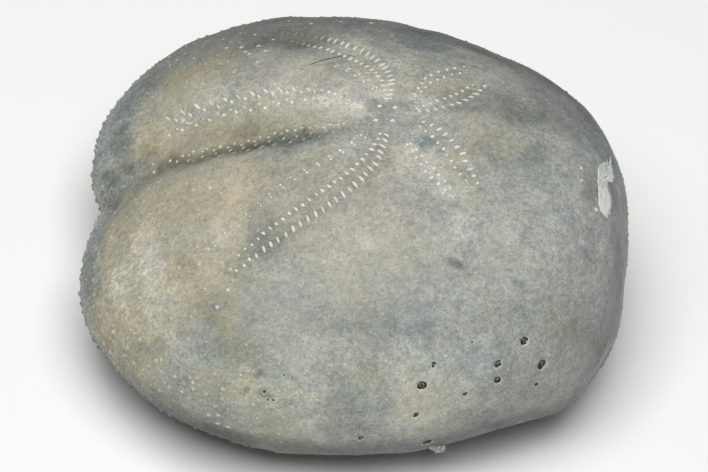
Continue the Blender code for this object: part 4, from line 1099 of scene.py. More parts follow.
def copy_zones(shape, middles, paleness_and_highlight):
    """Zone attributes taken at each copy's middle; paleness grows towards the top, on tubercles partly a
    painted highlight.
    """
    count = len(shape[0])
    zones = {key: np.repeat(values, count) for key, values in stone_zones(middles).items()}
    zones["paleness_and_highlight"] = (paleness_and_highlight[:, None] * np.clip(shape[0][:, 2], 0.0, 1.0) ** 0.7).reshape(-1)
    return zones


def warmth_share(middles):
    """How much of its paleness a copy keeps: all on warm stone, a quarter on slate."""
    return 0.25 + 0.75 * smooth(stone_zones(middles)["warm"], 0.0, 0.45)


# %% [markdown]
# ## Tubercles
# Spines once stood on tubercles. On this test they are dense and large on the front lobes, the flanks
# and below, and few and fine on the top. They sit in rough rows, so we start from a lattice whose
# rows are evenly spaced, jitter it, and keep a point with a chance that depends on the place. Their
# tops are paler, partly their own colour and partly a painted highlight. The clearest pale ones are
# placed one by one, each with its own size.

# %% Tubercle lattice
TUBERCLE_SPACING = 1.08
TUBERCLE_JITTER = 0.22
TUBERCLE_RADIUS = (0.18, 0.29)
TUBERCLE_RISE = (0.32, 0.62)
# Paleness of tubercle tops, partly a painted highlight where they catch the light.
TUBERCLE_PALE_HIGHLIGHT = (0.02, 0.26)
FRONT_LENGTH = 18.0
CHANCE_ANYWHERE, CHANCE_FRONT, CHANCE_STEEP = 0.08, 0.26, 0.75
FAR_SLOPE_CHANCE, FAR_SLOPE_PALE_HIGHLIGHT = 0.3, 0.4


# The clearest pale tubercles, their paleness partly a painted highlight.
PALE_RADIUS = 0.23
PALE_TUBERCLE_HIGHLIGHT = 0.68
PALE_TUBERCLES = np.array([
    (-12.7, 11.5, 17.9, 1.0), (-11.6, 11.2, 18.4, 1.1), (-11.4, 10.0, 18.9, 1.1), (-10.9, 9.2, 19.5, 1.1),
    (-10.1, 10.7, 19.2, 1.2), (-9.7, 9.3, 19.9, 1.0), (-10.3, 7.9, 20.0, 0.9), (-9.1, 11.9, 19.0, 1.0),
    (-10.6, 13.2, 18.0, 0.9), (-11.8, 14.3, 17.1, 0.8), (-6.2, 14.0, 19.4, 1.0), (-1.5, 13.4, 20.7, 1.2),
    (-8.0, 15.6, 18.0, 0.9), (-3.9, 13.7, 20.2, 0.9), (-12.7, 9.1, 18.6, 0.7), (-12.0, 7.2, 19.2, 0.7),
    (-12.8, -13.3, 17.3, 0.8), (-12.2, -12.2, 17.9, 0.8), (-11.1, -16.8, 16.4, 1.0),
    (-10.6, -15.9, 17.2, 1.0), (-10.5, -14.1, 17.9, 0.8), (-13.8, -19.4, 10.9, 1.0),
    (-13.0, -19.9, 9.9, 1.0), (-12.2, -20.2, 11.1, 0.9), (-10.1, -20.7, 11.4, 0.8),
    (-10.1, -20.6, 7.7, 1.2), (-9.2, -20.7, 7.6, 1.2), (-10.8, -20.6, 8.4, 1.0), (-9.9, -20.9, 8.8, 1.0),
    (-14.9, -18.5, 11.6, 0.8), (-17.3, -16.4, 12.1, 0.8), (-8.0, -20.4, 13.4, 0.7), (-15.4, 3.8, 16.6, 1.1),
    (-12.9, -6.4, 19.0, 0.9), (-14.1, -6.4, 18.2, 0.8), (13.5, -14.2, 5.7, 0.9), (14.3, -13.7, 5.7, 0.9),
    (15.8, -2.7, 21.3, 0.9), (19.1, 0.3, 18.1, 0.7), (15.7, -1.5, 21.5, 1.0), (17.3, -4.5, 19.9, 1.1),
    (-17.2, 0.8, 13.5, 0.9), (-17.3, 1.2, 13.6, 0.7), (-15.2, 3.4, 16.4, 0.8),
])


def lattice(spacing, jitter, rng):
    """Azimuths and polar angles of staggered rows of points, evenly spaced along the surface."""
    meridian = bare_form(np.full(500, -np.pi / 2), np.linspace(0, np.pi, 500))
    rows = int(np.linalg.norm(np.diff(meridian, axis=0), axis=1).sum() / spacing)
    polar_rows = even_rows(rows, 1.0)
    round_trip = np.linspace(0.0, 2.0 * np.pi, 361)
    found_u, found_v = [], []
    for polar in polar_rows:
        ring = bare_form(round_trip, np.full_like(round_trip, polar))
        length = np.concatenate([[0.0], np.cumsum(np.linalg.norm(np.diff(ring, axis=0), axis=1))])
        count = max(3, int(length[-1] / spacing))
        where = (np.arange(count) + rng.uniform() + rng.normal(0.0, jitter, count)) / count
        found_u.append(np.interp(where % 1.0 * length[-1], length, round_trip))
        found_v.append(polar + rng.normal(0.0, jitter, count) * np.pi / rows)
    return np.concatenate(found_u), np.clip(np.concatenate(found_v), POLE_GAP, np.pi - POLE_GAP)


BARE_ROWS = (
    (FRONT_HIND_INNER, 1.5), (REAR_HIND_INNER, 1.4), (FRONT_HIND_OUTER, 0.8),
    (REAR_HIND_OUTER, 0.8), (REAR_FORE_OUTER, 0.6),
)
BARE_GROOVE_WIDTHS = (1.2, 3.8)
BARE_GROOVE_SPAN = (-18.5, 1.0)
BARE_MOUTH = 2.4


def bare_places(p):
    """1 where small tubercles may stand; 0 in petals, groove, mouth, bands, pits and chip."""
    free = np.ones(p.shape[:-1])
    for row, reach in BARE_ROWS:
        away, along = row_distance(row, p)
        inside = (np.abs(away) < reach) & (along > -0.15) & (along < 1.08)
        free[inside & (p[..., 2] > AMBITUS_HEIGHT)] = 0.0
    half_width = np.interp(forwardness(p[..., 0]), (0.0, 1.0), BARE_GROOVE_WIDTHS)
    groove = np.abs(p[..., 1] - groove_middle(p[..., 0])) < half_width
    groove &= (p[..., 0] > BARE_GROOVE_SPAN[0]) & (p[..., 0] < BARE_GROOVE_SPAN[1])
    free[groove & (p[..., 2] > AMBITUS_HEIGHT)] = 0.0
    band = np.abs(np.abs(p[..., 1]) - BAND_Y) < BAND_WIDTH
    free[band & (p[..., 2] < 3.0) & (p[..., 0] > BAND_FRONT) & (p[..., 0] < BAND_REAR)] = 0.0
    mouth = np.hypot(p[..., 0] - MOUTH_X, (p[..., 1] - MOUTH_Y) * 0.7) < BARE_MOUTH
    free[mouth & (p[..., 2] < 4.0)] = 0.0
    for middle, radius in zip(pit_middle, pit_radius):
        free[np.linalg.norm(p - middle, axis=-1) < radius + 0.25] = 0.0
    offset = p - CHIP_MIDDLE
    chip = np.abs(offset @ CHIP_ALONG) < 1.1 * CHIP_HALF_LENGTH
    free[chip & (np.abs(offset @ CHIP_ACROSS) < 1.3 * CHIP_HALF_WIDTH) & (p[..., 0] > 0.0)] = 0.0
    return free


# %% Tubercles
tubercle_rng = np.random.default_rng(11)
seed_u, seed_v = lattice(TUBERCLE_SPACING, TUBERCLE_JITTER, tubercle_rng)
seed_place = shell(seed_u, seed_v)
seed_normal = step_normal(shell, seed_u, seed_v)
seed_form = seed_place - shift
steepness = 1.0 - np.clip(seed_normal[:, 2], 0.0, 1.0)
frontness = np.clip(-seed_form[:, 0] / FRONT_LENGTH, 0.0, 1.0)
chance = CHANCE_ANYWHERE + CHANCE_FRONT * frontness
chance += CHANCE_STEEP * steepness ** 1.4 * (0.45 + 0.55 * frontness)
far_slope = smooth(seed_form[:, 1], 8.0, 14.0) * smooth(-seed_form[:, 0], -2.0, 3.0)
far_slope *= seed_form[:, 2] > AMBITUS_HEIGHT
chance = bare_places(seed_form) * (chance + FAR_SLOPE_CHANCE * far_slope)
resting = (seed_normal[:, 2] < -0.985) & (seed_form[:, 2] < FACET_HEIGHT + 0.15)
keep = (tubercle_rng.uniform(size=len(chance)) < chance) & ~resting
strength = 0.1 + 0.9 * steepness * frontness
radius = TUBERCLE_RADIUS[0] + (TUBERCLE_RADIUS[1] - TUBERCLE_RADIUS[0]) * strength
radius = (radius * tubercle_rng.uniform(0.7, 1.15, len(radius)))[keep]
rise = TUBERCLE_RISE[0] + (TUBERCLE_RISE[1] - TUBERCLE_RISE[0]) * strength[keep]
paleness_and_highlight = tubercle_rng.uniform(*TUBERCLE_PALE_HIGHLIGHT, keep.sum()) * warmth_share(seed_place[keep])
paleness_and_highlight += tubercle_rng.uniform(0.0, FAR_SLOPE_PALE_HIGHLIGHT, keep.sum()) * far_slope[keep]
pale_u, pale_v = snap(PALE_TUBERCLES[:, :3])
place = np.concatenate([seed_place[keep], shell(pale_u, pale_v)])
normal = np.concatenate([seed_normal[keep], step_normal(shell, pale_u, pale_v)])
radius = np.append(radius, PALE_RADIUS * PALE_TUBERCLES[:, 3])
rise = np.append(rise, np.full(len(pale_u), TUBERCLE_RISE[0]))
paleness_and_highlight = np.append(paleness_and_highlight, PALE_TUBERCLE_HIGHLIGHT * PALE_TUBERCLES[:, 3])
tubercle_dome = mound(9, (0.2, 0.45, 0.7, 0.9, 1.0))
sizes = np.stack([radius, radius, radius * rise], axis=1)
sideways = np.tile([0.3, 0.2, 1.0], (len(place), 1))
points, quads, tris = repeat(tubercle_dome, place, normal, sideways, sizes)
zones = copy_zones(tubercle_dome, place, paleness_and_highlight)
print("tubercles:", len(place))
make_piece("tubercles", points, quads, tris, stone, zones)

# %% [markdown]
# ## Granules
# Between the tubercles the stone is sown with granules, densest and palest round the apex.

# %% Granules
GRANULE_SPACING = 0.52
GRANULE_JITTER = 0.5
GRANULE_RADIUS = (0.045, 0.085)
GRANULE_RISE = 0.55
GRANULE_BLEACH = 0.38
APICAL_CHANCE, APICAL_BLEACH = 0.5, (-0.4, 0.8)
APICAL_PLACE, APICAL_REACH = np.array([1.8, -0.4]), 5.2
granule_rng = np.random.default_rng(12)
seed_u, seed_v = lattice(GRANULE_SPACING, GRANULE_JITTER, granule_rng)
seed_place = shell(seed_u, seed_v)
seed_normal = step_normal(shell, seed_u, seed_v)
steepness = 1.0 - np.clip(seed_normal[:, 2], 0.0, 1.0)
apical = hill(np.linalg.norm(seed_place[:, :2] - shift[:2] - APICAL_PLACE, axis=-1), APICAL_REACH)
chance = (0.25 + 0.4 * steepness) * (0.3 + 0.7 * bare_places(seed_place - shift))
chance += APICAL_CHANCE * apical
resting = (seed_normal[:, 2] < -0.98) & (seed_place[:, 2] < box_low[2] + 0.1)
keep = (granule_rng.uniform(size=len(chance)) < chance) & ~resting
radius = granule_rng.uniform(*GRANULE_RADIUS, keep.sum()) * (1.0 + 0.2 * apical[keep])
granule_dome = dome(6, (0.55, 0.0))
sizes = np.stack([radius, radius, radius * GRANULE_RISE], axis=1)
sideways = np.tile([0.3, 0.2, 1.0], (keep.sum(), 1))
points, quads, tris = repeat(granule_dome, seed_place[keep], seed_normal[keep], sideways, sizes)
paleness_and_highlight = granule_rng.uniform(0.0, GRANULE_BLEACH, keep.sum()) * warmth_share(seed_place[keep])
paleness_and_highlight += granule_rng.uniform(*APICAL_BLEACH, keep.sum()).clip(0.0) * apical[keep]
zones = copy_zones(granule_dome, seed_place[keep], paleness_and_highlight)
print("granules:", keep.sum())
make_piece("granules", points, quads, tris, stone, zones)

# %% [markdown]
# ## Pores
# The pores are filled with cream calcite, so each one shows as a short pale bar. In a petal's hind
# zone the outer pores are slits that lie across the row and lean outwards, and the inner ones are
# small ovals. The front zones have tiny paired dots. In the front groove long and short bars take
# turns.

# %% Pore rows on the plan
PORE_PITCH = 0.66
FRONT_PITCH = 0.575
REAR_FORE_PITCH = 0.72
PAIR_PITCH = 1.05
PAIR_GAP = 0.19
PORE_RISE = 0.09
OUTER_LEANS = (30.0, 11.0)
REAR_LEANS = (38.0, 9.0)
INNER_LEANS = (-8.0, -8.0)
GROOVE_PITCH = 1.08
GROOVE_X = (3.0, 5.0, 7.0, 9.0, 11.0, 13.0, 15.0, 17.4)
PETAL_FRONT_ROWS = (
    (FRONT_HIND_OUTER, FRONT_PITCH, OUTER_LEANS, 0.87, 0.27),
    (FRONT_HIND_INNER, FRONT_PITCH * 0.97, INNER_LEANS, 0.52, 0.29),
)
PETAL_REAR_ROWS = (
    (REAR_HIND_OUTER, PORE_PITCH, REAR_LEANS, 0.68, 0.29),
    (REAR_HIND_INNER, PORE_PITCH, INNER_LEANS, 0.42, 0.30),
    (REAR_FORE_OUTER, REAR_FORE_PITCH, INNER_LEANS, 0.36, 0.31),
    (REAR_FORE_INNER, REAR_FORE_PITCH, INNER_LEANS, 0.34, 0.29),
)
PAIR_LENGTH, PAIR_WIDTH = 0.24, 0.21
PORE_SCATTER = 0.035
PORE_BLEACH = (0.62, 1.0)
GROOVE_ROWS = (
    (0.00, 0.45, 0.95, 0.27, 30.0, 1.0, (1.60, 2.75, 3.40, 3.75, 4.08, 4.30, 4.50, 4.45)),
    (0.50, 0.34, 0.62, 0.26, 25.0, 1.0, (1.60, 2.70, 3.05, 3.40, 3.62, 3.78, 3.95, 4.00)),
    (0.10, 0.26, 0.42, 0.33, 30.0, 1.0, (1.10, 1.85, 2.05, 2.28, 2.45, 2.70, 2.80, 3.05)),
    (0.55, 0.20, 0.26, 0.26, 10.0, 0.9, (1.15, 1.90, 2.30, 2.60, 2.80, 3.00, 3.20, 3.20)),
    (0.20, 0.24, 0.30, 0.28, -10.0, 0.9, (-1.08, -1.20, -1.30, -1.25, -1.04, -0.70, -0.05, 0.80)),
    (0.65, 0.24, 0.30, 0.28, -10.0, 0.8, (-1.08, -1.42, -1.52, -1.58, -1.35, -1.05, -0.35, 0.55)),
    (0.45, 0.24, 0.40, 0.21, -35.0, 0.7, (-1.42, -1.98, -2.25, -2.15, -1.90, -1.65, -1.05, -0.60)),
    (0.95, 0.30, 0.70, 0.20, -30.0, 0.6, (-1.80, -2.50, -2.85, -2.85, -2.60, -2.30, -1.70, -1.20)),
)


def plan_curve(row, radius, side):
    """Points of a pore row on the plan, on one side."""
    angle = row_angle(row, radius, side)
    return np.stack([-radius * np.cos(angle), side * radius * np.sin(angle)], axis=-1)


def petal_pores(row, pitch, leans, length, width, side):
    """Middle, heading, half length, half width and paleness of a row's pores.

    A pore lies across the row, turned outwards by a lean that eases from its first to its last value,
    and the pores of both ends are shorter. The fifth array is the share of paleness kept: past the
    worn share of a row the fillings are nearly gone.
    """
    end = 0 if side < 0.0 else 1
    radius = np.arange(row["first"][end], row["last"][end], pitch)
    middle = plan_curve(row, radius, side)
    out = unit(plan_curve(row, radius + 0.05, side) - middle)
    hindward = np.stack([out[:, 1], -out[:, 0]], axis=-1) * side
    share = np.linspace(0.0, 1.0, len(radius))
    lean = np.radians(leans[1] + (leans[0] - leans[1]) * np.exp(-5.0 * share))[:, None]
    heading = np.cos(lean) * hindward + np.sin(lean) * out
    swell = np.clip(0.72 + 2.0 * share, 0.0, 1.0) * np.clip(0.45 + 3.0 * (1.0 - share), 0.0, 1.0)
    pale = 1.0 - 0.85 * smooth(share, *(row.get("worn", (2.0, 2.0))[end] + np.array((-0.02, 0.16))))
    return middle, heading, 0.5 * length * swell, np.full_like(radius, 0.5 * width), pale


def groove_pores(start, first_length, length, width, lean, pale, places):
    """A row of the front groove, from its distances off the middle plane at a few stations."""
    x = np.arange(GROOVE_X[0] + start, GROOVE_X[-1], GROOVE_PITCH)
    y = np.interp(x, GROOVE_X, places)
    side = math.copysign(1.0, places[0])
    lean = math.radians(abs(lean))
    heading = np.tile([-np.sin(lean), side * np.cos(lean)], (len(x), 1))
    half = 0.5 * (first_length + (length - first_length) * smooth(x, 4.0, 9.0))
    return np.stack([-x, y], axis=-1), heading, half, np.full_like(x, 0.5 * width), np.full_like(x, pale)


def pair_dots(row, side):
    """Two dots for each pore pair of a front zone, set across the row, largest near the apex."""
    middle, heading, half, width, pale = petal_pores(
        row, PAIR_PITCH, (0.0, 0.0), PAIR_LENGTH, PAIR_WIDTH, side)
    larger = 1.0 + 0.5 * hill(np.arange(len(half)), 4.0)
    half, width = half * larger, width * larger
    both = [(middle + sign * PAIR_GAP * heading, heading, half, width, pale) for sign in (-1.0, 1.0)]
    return [np.concatenate(parts) for parts in zip(*both)]


# %% Pore fillings
pore_sets = [groove_pores(*row) for row in GROOVE_ROWS]
for side in (-1.0, 1.0):
    pore_sets += [petal_pores(*row, side) for row in PETAL_FRONT_ROWS]
    pore_sets.append(pair_dots(FRONT_FORE, side))
    pore_sets += [petal_pores(*row, side) for row in PETAL_REAR_ROWS]
pore_parts = [np.concatenate(part) for part in zip(*pore_sets)]
pore_middle, pore_heading, pore_half, pore_width, pore_pale = pore_parts
pore_rng = np.random.default_rng(13)
pore_middle = pore_middle + pore_rng.normal(0.0, PORE_SCATTER, pore_middle.shape)
pore_half = pore_half * pore_rng.uniform(0.82, 1.12, len(pore_half))
pore_width = pore_width * pore_rng.uniform(0.85, 1.15, len(pore_half))
pore_uv = on_top(pore_middle[:, 0], pore_middle[:, 1])
tip = pore_middle + 0.2 * pore_heading
pore_place = shell(*pore_uv)
pore_normal = step_normal(shell, *pore_uv)
pore_way = shell(*on_top(tip[:, 0], tip[:, 1])) - pore_place
pore_dome = dome(10, (0.8, 0.5, 0.2, 0.0))
sizes = np.stack([pore_half, pore_width, PORE_RISE * (0.3 + 0.7 * pore_pale)], axis=1)
points, quads, tris = repeat(pore_dome, pore_place, pore_normal, pore_way, sizes)
zones = copy_zones(pore_dome, pore_place, pore_rng.uniform(*PORE_BLEACH, len(pore_half)) * pore_pale)
print("pores:", len(pore_half))
make_piece("pore_fillings", points, quads, tris, stone, zones)

# %% [markdown]
# ## Apical disc
# At the apex four gonopores open, each a small pale ring round a hole darkened with painted shade.

# %% Gonopores
GONOPORES = np.array([(-0.5, 0.8), (0.7, 0.7), (-0.7, -1.0), (0.6, -1.0)])
GONOPORE_SIZE = (0.23, 0.19, 0.12)
GONOPORE_HOLE_SHIFT = 0.42
# How much painted shade darkens the hole of each gonopore.
GONOPORE_SHADES = (0.1, 0.7, 1.0, 0.9)


def crater(sides):
    """Unit mound with a hole near one side: the profile rises, rounds over and falls inside."""
    turn = np.arange(sides) * 2.0 * np.pi / sides
    reach = np.array([0.08, 0.17, 0.30, 0.62, 0.88, 1.0])[:, None]
    rise = np.array([-0.45, 0.25, 0.90, 1.0, 0.60, -0.3])[:, None]
    y = reach * np.sin(turn) - GONOPORE_HOLE_SHIFT * (1.0 - reach)
    rings = np.stack([reach * np.cos(turn), y, rise + 0.0 * turn], axis=-1)
    return closed_grid(rings, (0.0, -GONOPORE_HOLE_SHIFT, -0.6), (0.0, 0.0, -0.7))


CRATER_SIDES = 14
crater_shape = crater(CRATER_SIDES)
disc_uv = on_top(GONOPORES[:, 0], GONOPORES[:, 1])
disc_place = shell(*disc_uv)
points, quads, tris = repeat(crater_shape, disc_place, step_normal(shell, *disc_uv),
                             np.tile([1.0, 0.2, 0.0], (len(GONOPORES), 1)),
                             np.tile(GONOPORE_SIZE, (len(GONOPORES), 1)))
zones = copy_zones(crater_shape, disc_place, np.full(len(GONOPORES), 1.0))
# The hole's inner rings and its pole take the painted shade.
in_hole = np.zeros(len(crater_shape[0]))
in_hole[:2 * CRATER_SIDES] = 1.0
in_hole[-2] = 1.0
zones["hollow"] = (np.array(GONOPORE_SHADES)[:, None] * in_hole).ravel()
make_piece("gonopores", points, quads, tris, stone, zones)

# %% [markdown]
# ## Pit crystals
# Small olive-brown crystals line the weathered pits. Each is a flat-faced double pyramid, tumbled at
# random; a pit holds more of them the wider it is.

# %% Crystals
CRYSTALS_PER_MM2 = 45.0
CRYSTAL_RADIUS = (0.035, 0.065)
OLIVE = (0.30, 0.28, 0.18, 1.0)


def faceted(sides):
    """Unit double pyramid with blunt middle."""
    turn = np.arange(sides) * 2.0 * np.pi / sides
    rings = np.stack([np.stack([np.cos(turn), np.sin(turn), np.full(sides, level)], axis=-1)
                      for level in (0.35, -0.35)])
    return closed_grid(rings, (0.0, 0.0, 1.1), (0.0, 0.0, -1.1))


def tumbled(shape, middles, radius, rng):
    """Copies of a shape, each turned at random."""
    normals = unit(rng.normal(size=middles.shape))
    headings = unit(rng.normal(size=middles.shape))
    sizes = radius[:, None] * rng.uniform(0.7, 1.2, middles.shape)
    return repeat(shape, middles, normals, headings, sizes)


def make_crystal(name, colour, roughness, **fixed):
    """A glossy crystal whose colour wavers a little with the place."""
    material, tree, shader = new_material(name, roughness, **fixed)
    where = add_node(tree, "ShaderNodeTexCoord").outputs["Object"]
    share = remap(tree, noise(tree, where, 0.25), 0.35, 0.65)
    dark = tuple(0.45 * part for part in colour[:3]) + (1.0,)
    tree.links.new(blend_colours(tree, share, dark, colour), shader.inputs["Base Color"])
    return material


crystal_rng = np.random.default_rng(14)
pit_normal = step_normal(shell_raw, pit_u, pit_v)
middles = []
for middle, normal, radius in zip(pit_middle, pit_normal, pit_radius):
    count = max(3, int(CRYSTALS_PER_MM2 * np.pi * radius ** 2))
    spread = crystal_rng.normal(size=(count, 3))
    spread -= (spread @ normal)[:, None] * normal
    reach = 0.6 * radius * np.sqrt(crystal_rng.uniform(size=(count, 1)))
    depth = PIT_DEPTH_SHARE * radius * np.exp(-((reach / radius) ** 4))
    middles.append(middle + unit(spread) * reach - normal * (depth - 0.03))
middles = np.concatenate(middles) + shift
radius = crystal_rng.uniform(*CRYSTAL_RADIUS, len(middles))
crystal_stone = make_crystal("olive_crystal", OLIVE, 0.15, Specular_IOR_Level=0.8)
points, quads, tris = tumbled(faceted(5), middles, radius, crystal_rng)
crystals = make_piece("pit_crystals", points, quads, tris, crystal_stone)
crystals.data.shade_flat()

# %% [markdown]
# ## Pale filling of the chip
# The filling is a thin pad of chalky rock. Its edges are given at a few places along it, with a bite
# in the rear one, and one end is drawn out into three ragged prongs. Rings of a rounded square are
# stretched onto that outline and lifted a hair above the stone.

# %% Chip filling
FILL_Y = (-4.3, -3.9, -3.3, -2.4, -1.65, -1.1, -0.3, 0.3, 0.9, 1.5, 3.0)
FILL_LEFT = (17.45, 17.30, 17.18, 17.02, 17.00, 16.96, 16.93, 17.00, 17.22, 17.42, 17.70)
FILL_RIGHT = (18.05, 18.16, 18.28, 18.38, 18.25, 18.05, 18.15, 18.50, 18.48, 18.40, 18.28)
PRONG_ACROSS = (0.0, 0.15, 0.3, 0.4, 0.52, 0.64, 0.82, 1.0)
PRONG_Y = (0.3, 1.2, 1.9, 1.2, 2.6, 1.7, 3.1, 1.7)
FILL_REACH = (1.0, 0.96, 0.88, 0.74, 0.5, 0.25)
FILL_LIFT = (-0.10, 0.02, 0.05, 0.06, 0.06, 0.06)
FILL_POINTS = 240
CHALK_GREY, CHALK_WHITE = (0.55, 0.57, 0.54, 1.0), (0.68, 0.69, 0.65, 1.0)
CHALK_STAIN = (0.20, 0.22, 0.21, 1.0)


def make_filling():
    """Closed grid of rounded squares stretched onto the outline, and how thin the filling is there."""
    angle = np.arange(FILL_POINTS) * 2.0 * np.pi / FILL_POINTS
    spread = 0.5 * np.array(FILL_REACH)[:, None] * super_radius(angle, 12.0)
    across, along = 0.5 + spread * np.cos(angle), 0.5 + spread * np.sin(angle)
    y = FILL_Y[0] + along * (np.interp(across, PRONG_ACROSS, PRONG_Y) - FILL_Y[0])
    left, right = np.interp(y, FILL_Y, FILL_LEFT), np.interp(y, FILL_Y, FILL_RIGHT)
    x = left + across * (right - left)
    ragged = waves(wave_bank(17, 24, 0.25, 0.9), np.stack([x, y, 0.0 * x], axis=-1))
    u, v = on_top(x + 0.10 * ragged, y)
    lift = np.array(FILL_LIFT)[:, None] + 0.03 * waves(wave_bank(18, 20, 0.3, 1.0), shell_raw(u, v))
    place = shell(u, v) + step_normal(shell, u, v) * lift[..., None]
    middle = place[-1].mean(axis=0)
    bottom = middle - 0.4 * step_normal(shell, u, v).mean(axis=(0, 1))
    thin = smooth(across, 0.55, 1.0) * smooth(along, 0.75, 0.35)
    return closed_grid(place[::-1], middle, bottom), np.concatenate([thin[::-1].ravel(), [0.0, 0.0]])


def make_plaster(name):
    """Chalky pale rock: off-white with faint grey clouds and a dry, grainy surface."""
    material, tree, shader = new_material(name, 0.8, Specular_IOR_Level=0.25)
    where = add_node(tree, "ShaderNodeTexCoord").outputs["Object"]
    clouds = remap(tree, noise(tree, where, 0.9), 0.35, 0.65)
    colour = blend_colours(tree, clouds, CHALK_GREY, CHALK_WHITE)
    thin = waver(tree, attribute(tree, "thin"), (noise(tree, where, 0.4), 0.8))
    colour = blend_colours(tree, remap(tree, thin, 0.35, 1.1, 0.0, 0.8), colour, CHALK_STAIN)
    tree.links.new(colour, shader.inputs["Base Color"])
    add_bump(tree, shader, noise(tree, where, 0.15), 0.5, 0.04)
    return material


fill_grid, fill_thin = make_filling()
make_piece("chip_filling", *fill_grid, make_plaster("pale_filling"), {"thin": fill_thin})

# %% [markdown]
# ## Hairline and crumb
# A brown hairline crosses the far front petal, and a crumb of clear calcite is cemented to the lower
# edge. The hairline is a tube thinner than a hair, half sunk in the stone; the crumb is a handful of
# tumbled crystals grown into one another.

# %% Hairline
HAIRLINE = np.array([(-6.55, 6.05), (-5.75, 6.5), (-5.0, 7.1), (-4.15, 7.55), (-3.4, 7.75), (-2.5, 7.55)])
HAIRLINE_RADIUS = 0.06
HAIRLINE_BROWN = (0.12, 0.095, 0.06, 1.0)


def make_hairline(stations=60, sides=6):
    """Closed tube along a smooth line through a few plan points, thinning to both ends."""
    share = np.linspace(0.0, 1.0, len(HAIRLINE))
    at = np.linspace(0.0, 1.0, stations)
    line = np.stack([np.polyval(np.polyfit(share, HAIRLINE[:, axis], 3), at) for axis in (0, 1)], axis=-1)
    u, v = on_top(line[:, 0], line[:, 1])
    middle, normal = shell(u, v), step_normal(shell, u, v)
    along = unit(np.gradient(middle, axis=0))
    across = np.cross(normal, along)
    loop = np.arange(sides) * 2.0 * np.pi / sides
    radius = HAIRLINE_RADIUS * (0.25 + 0.75 * np.sin(np.pi * at))[:, None, None]
    ring = np.cos(loop)[:, None] * across[:, None] + np.sin(loop)[:, None] * normal[:, None]
    return closed_grid(middle[:, None] + radius * ring, middle[0], middle[-1])


make_piece("hairline", *make_hairline(), plain_material("brown_hairline", 0.8, HAIRLINE_BROWN))

# %% Crumb
CRUMB = np.array([7.38, -16.75, 4.30])
CRUMB_SPREAD = np.array([0.28, 0.10, 0.12])
CRUMB_COUNT = 14
CRUMB_RADIUS = (0.22, 0.40)
CLEAR_WHITE = (0.72, 0.73, 0.70, 1.0)
crumb_rng = np.random.default_rng(21)
crumb_u, crumb_v = snap(CRUMB)
crumb_middle = shell(crumb_u, crumb_v)[0]
crumb_spots = crumb_middle + crumb_rng.normal(size=(CRUMB_COUNT, 3)) * CRUMB_SPREAD
crumb_radius = crumb_rng.uniform(*CRUMB_RADIUS, CRUMB_COUNT)
calcite = make_crystal("clear_calcite", CLEAR_WHITE, 0.25, IOR=1.55, Transmission_Weight=0.3)
points, quads, tris = tumbled(faceted(6), crumb_spots, crumb_radius, crumb_rng)
crumb = make_piece("calcite_crumb", points, quads, tris, calcite)
crumb.data.shade_flat()

# %% [markdown]
# ## Camera, floor and light
# The camera looks down on the near side from the front quarter with a long lens, a little rolled. A
# big soft lamp hangs near it, so the rims fall into shade, and a pale sky fills the rest.

# %% Camera
CAMERA_AZIMUTH = -2.89
CAMERA_ELEVATION = 42.54
CAMERA_ROLL = 9.30
CAMERA_DISTANCE = 476.3
PIXELS_PER_MM = 12.642
FRAME_WIDTH, FRAME_HEIGHT = 708, 472
TARGET = np.array([0.0, 0.0, 11.75])
TARGET_PIXEL = (367.6, 220.8)
SENSOR = 36.0

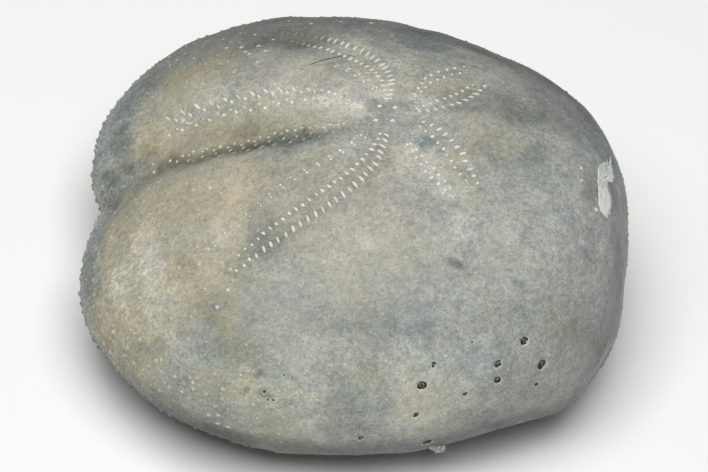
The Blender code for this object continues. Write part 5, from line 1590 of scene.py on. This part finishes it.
azimuth_r, elevation_r, roll_r = np.radians([CAMERA_AZIMUTH, CAMERA_ELEVATION, CAMERA_ROLL])
back = np.array([np.sin(azimuth_r) * np.cos(elevation_r), -np.cos(azimuth_r) * np.cos(elevation_r),
                 np.sin(elevation_r)])
level = np.array([np.cos(azimuth_r), np.sin(azimuth_r), 0.0])
upright = np.cross(back, level)
right = np.cos(roll_r) * level + np.sin(roll_r) * upright
up = -np.sin(roll_r) * level + np.cos(roll_r) * upright
aim = TARGET + shift + right * (FRAME_WIDTH / 2 - TARGET_PIXEL[0]) / PIXELS_PER_MM
aim = aim - up * (FRAME_HEIGHT / 2 - TARGET_PIXEL[1]) / PIXELS_PER_MM
camera_place = aim + back * CAMERA_DISTANCE
lens_data = bpy.data.cameras.new("camera")
lens_data.sensor_width = SENSOR
lens_data.lens = SENSOR * PIXELS_PER_MM * CAMERA_DISTANCE / FRAME_WIDTH
lens_data.clip_start, lens_data.clip_end = 0.01, 10.0
camera = add_object("camera", lens_data)
turn = Matrix([list(row) for row in np.stack([right, up, back], axis=1)]).to_4x4()
camera.matrix_world = Matrix.Translation(Vector((camera_place * MM).tolist())) @ turn
bpy.context.scene.camera = camera
print("lens, mm:", round(lens_data.lens, 1))

# %% Floor
FLOOR_HALF = 1500.0
FLOOR_WHITE = (0.88, 0.88, 0.87, 1.0)
floor_mesh = bpy.data.meshes.new("floor")
corners = np.array([(-1, -1, 0), (1, -1, 0), (1, 1, 0), (-1, 1, 0)]) * FLOOR_HALF
floor_mesh.from_pydata((corners * MM).tolist(), [], [(0, 1, 2, 3)])
floor_mesh.materials.append(plain_material("pale_floor", 0.7, FLOOR_WHITE))
add_object("floor", floor_mesh)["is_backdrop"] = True


# %% Lights
def soft_lamp(name, azimuth, elevation, distance, size, power):
    """A square area lamp that points at the test from an azimuth and an elevation, in degrees."""
    lamp = bpy.data.lights.new(name, "AREA")
    lamp.size = size
    lamp.energy = power
    obj = add_object(name, lamp)
    a, e = math.radians(azimuth), math.radians(elevation)
    place = Vector((math.sin(a) * math.cos(e), -math.cos(a) * math.cos(e), math.sin(e)))
    obj.location = place * distance
    obj.rotation_euler = place.to_track_quat("Z", "Y").to_euler()


soft_lamp("key_lamp", -14.0, 69.0, 0.9, 0.7, 10.4)
world = bpy.data.worlds.new("studio_sky")
world.use_nodes = True
sky = world.node_tree.nodes["Background"]
sky.inputs["Color"].default_value = (1.0, 1.0, 1.0, 1.0)
sky.inputs["Strength"].default_value = 0.06
bpy.context.scene.world = world
bpy.context.scene.view_settings.view_transform = "Standard"

visual_low, visual_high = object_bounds()
sizes = {"cad": [list(cad_low), list(cad_high)], "visual": [list(visual_low), list(visual_high)]}
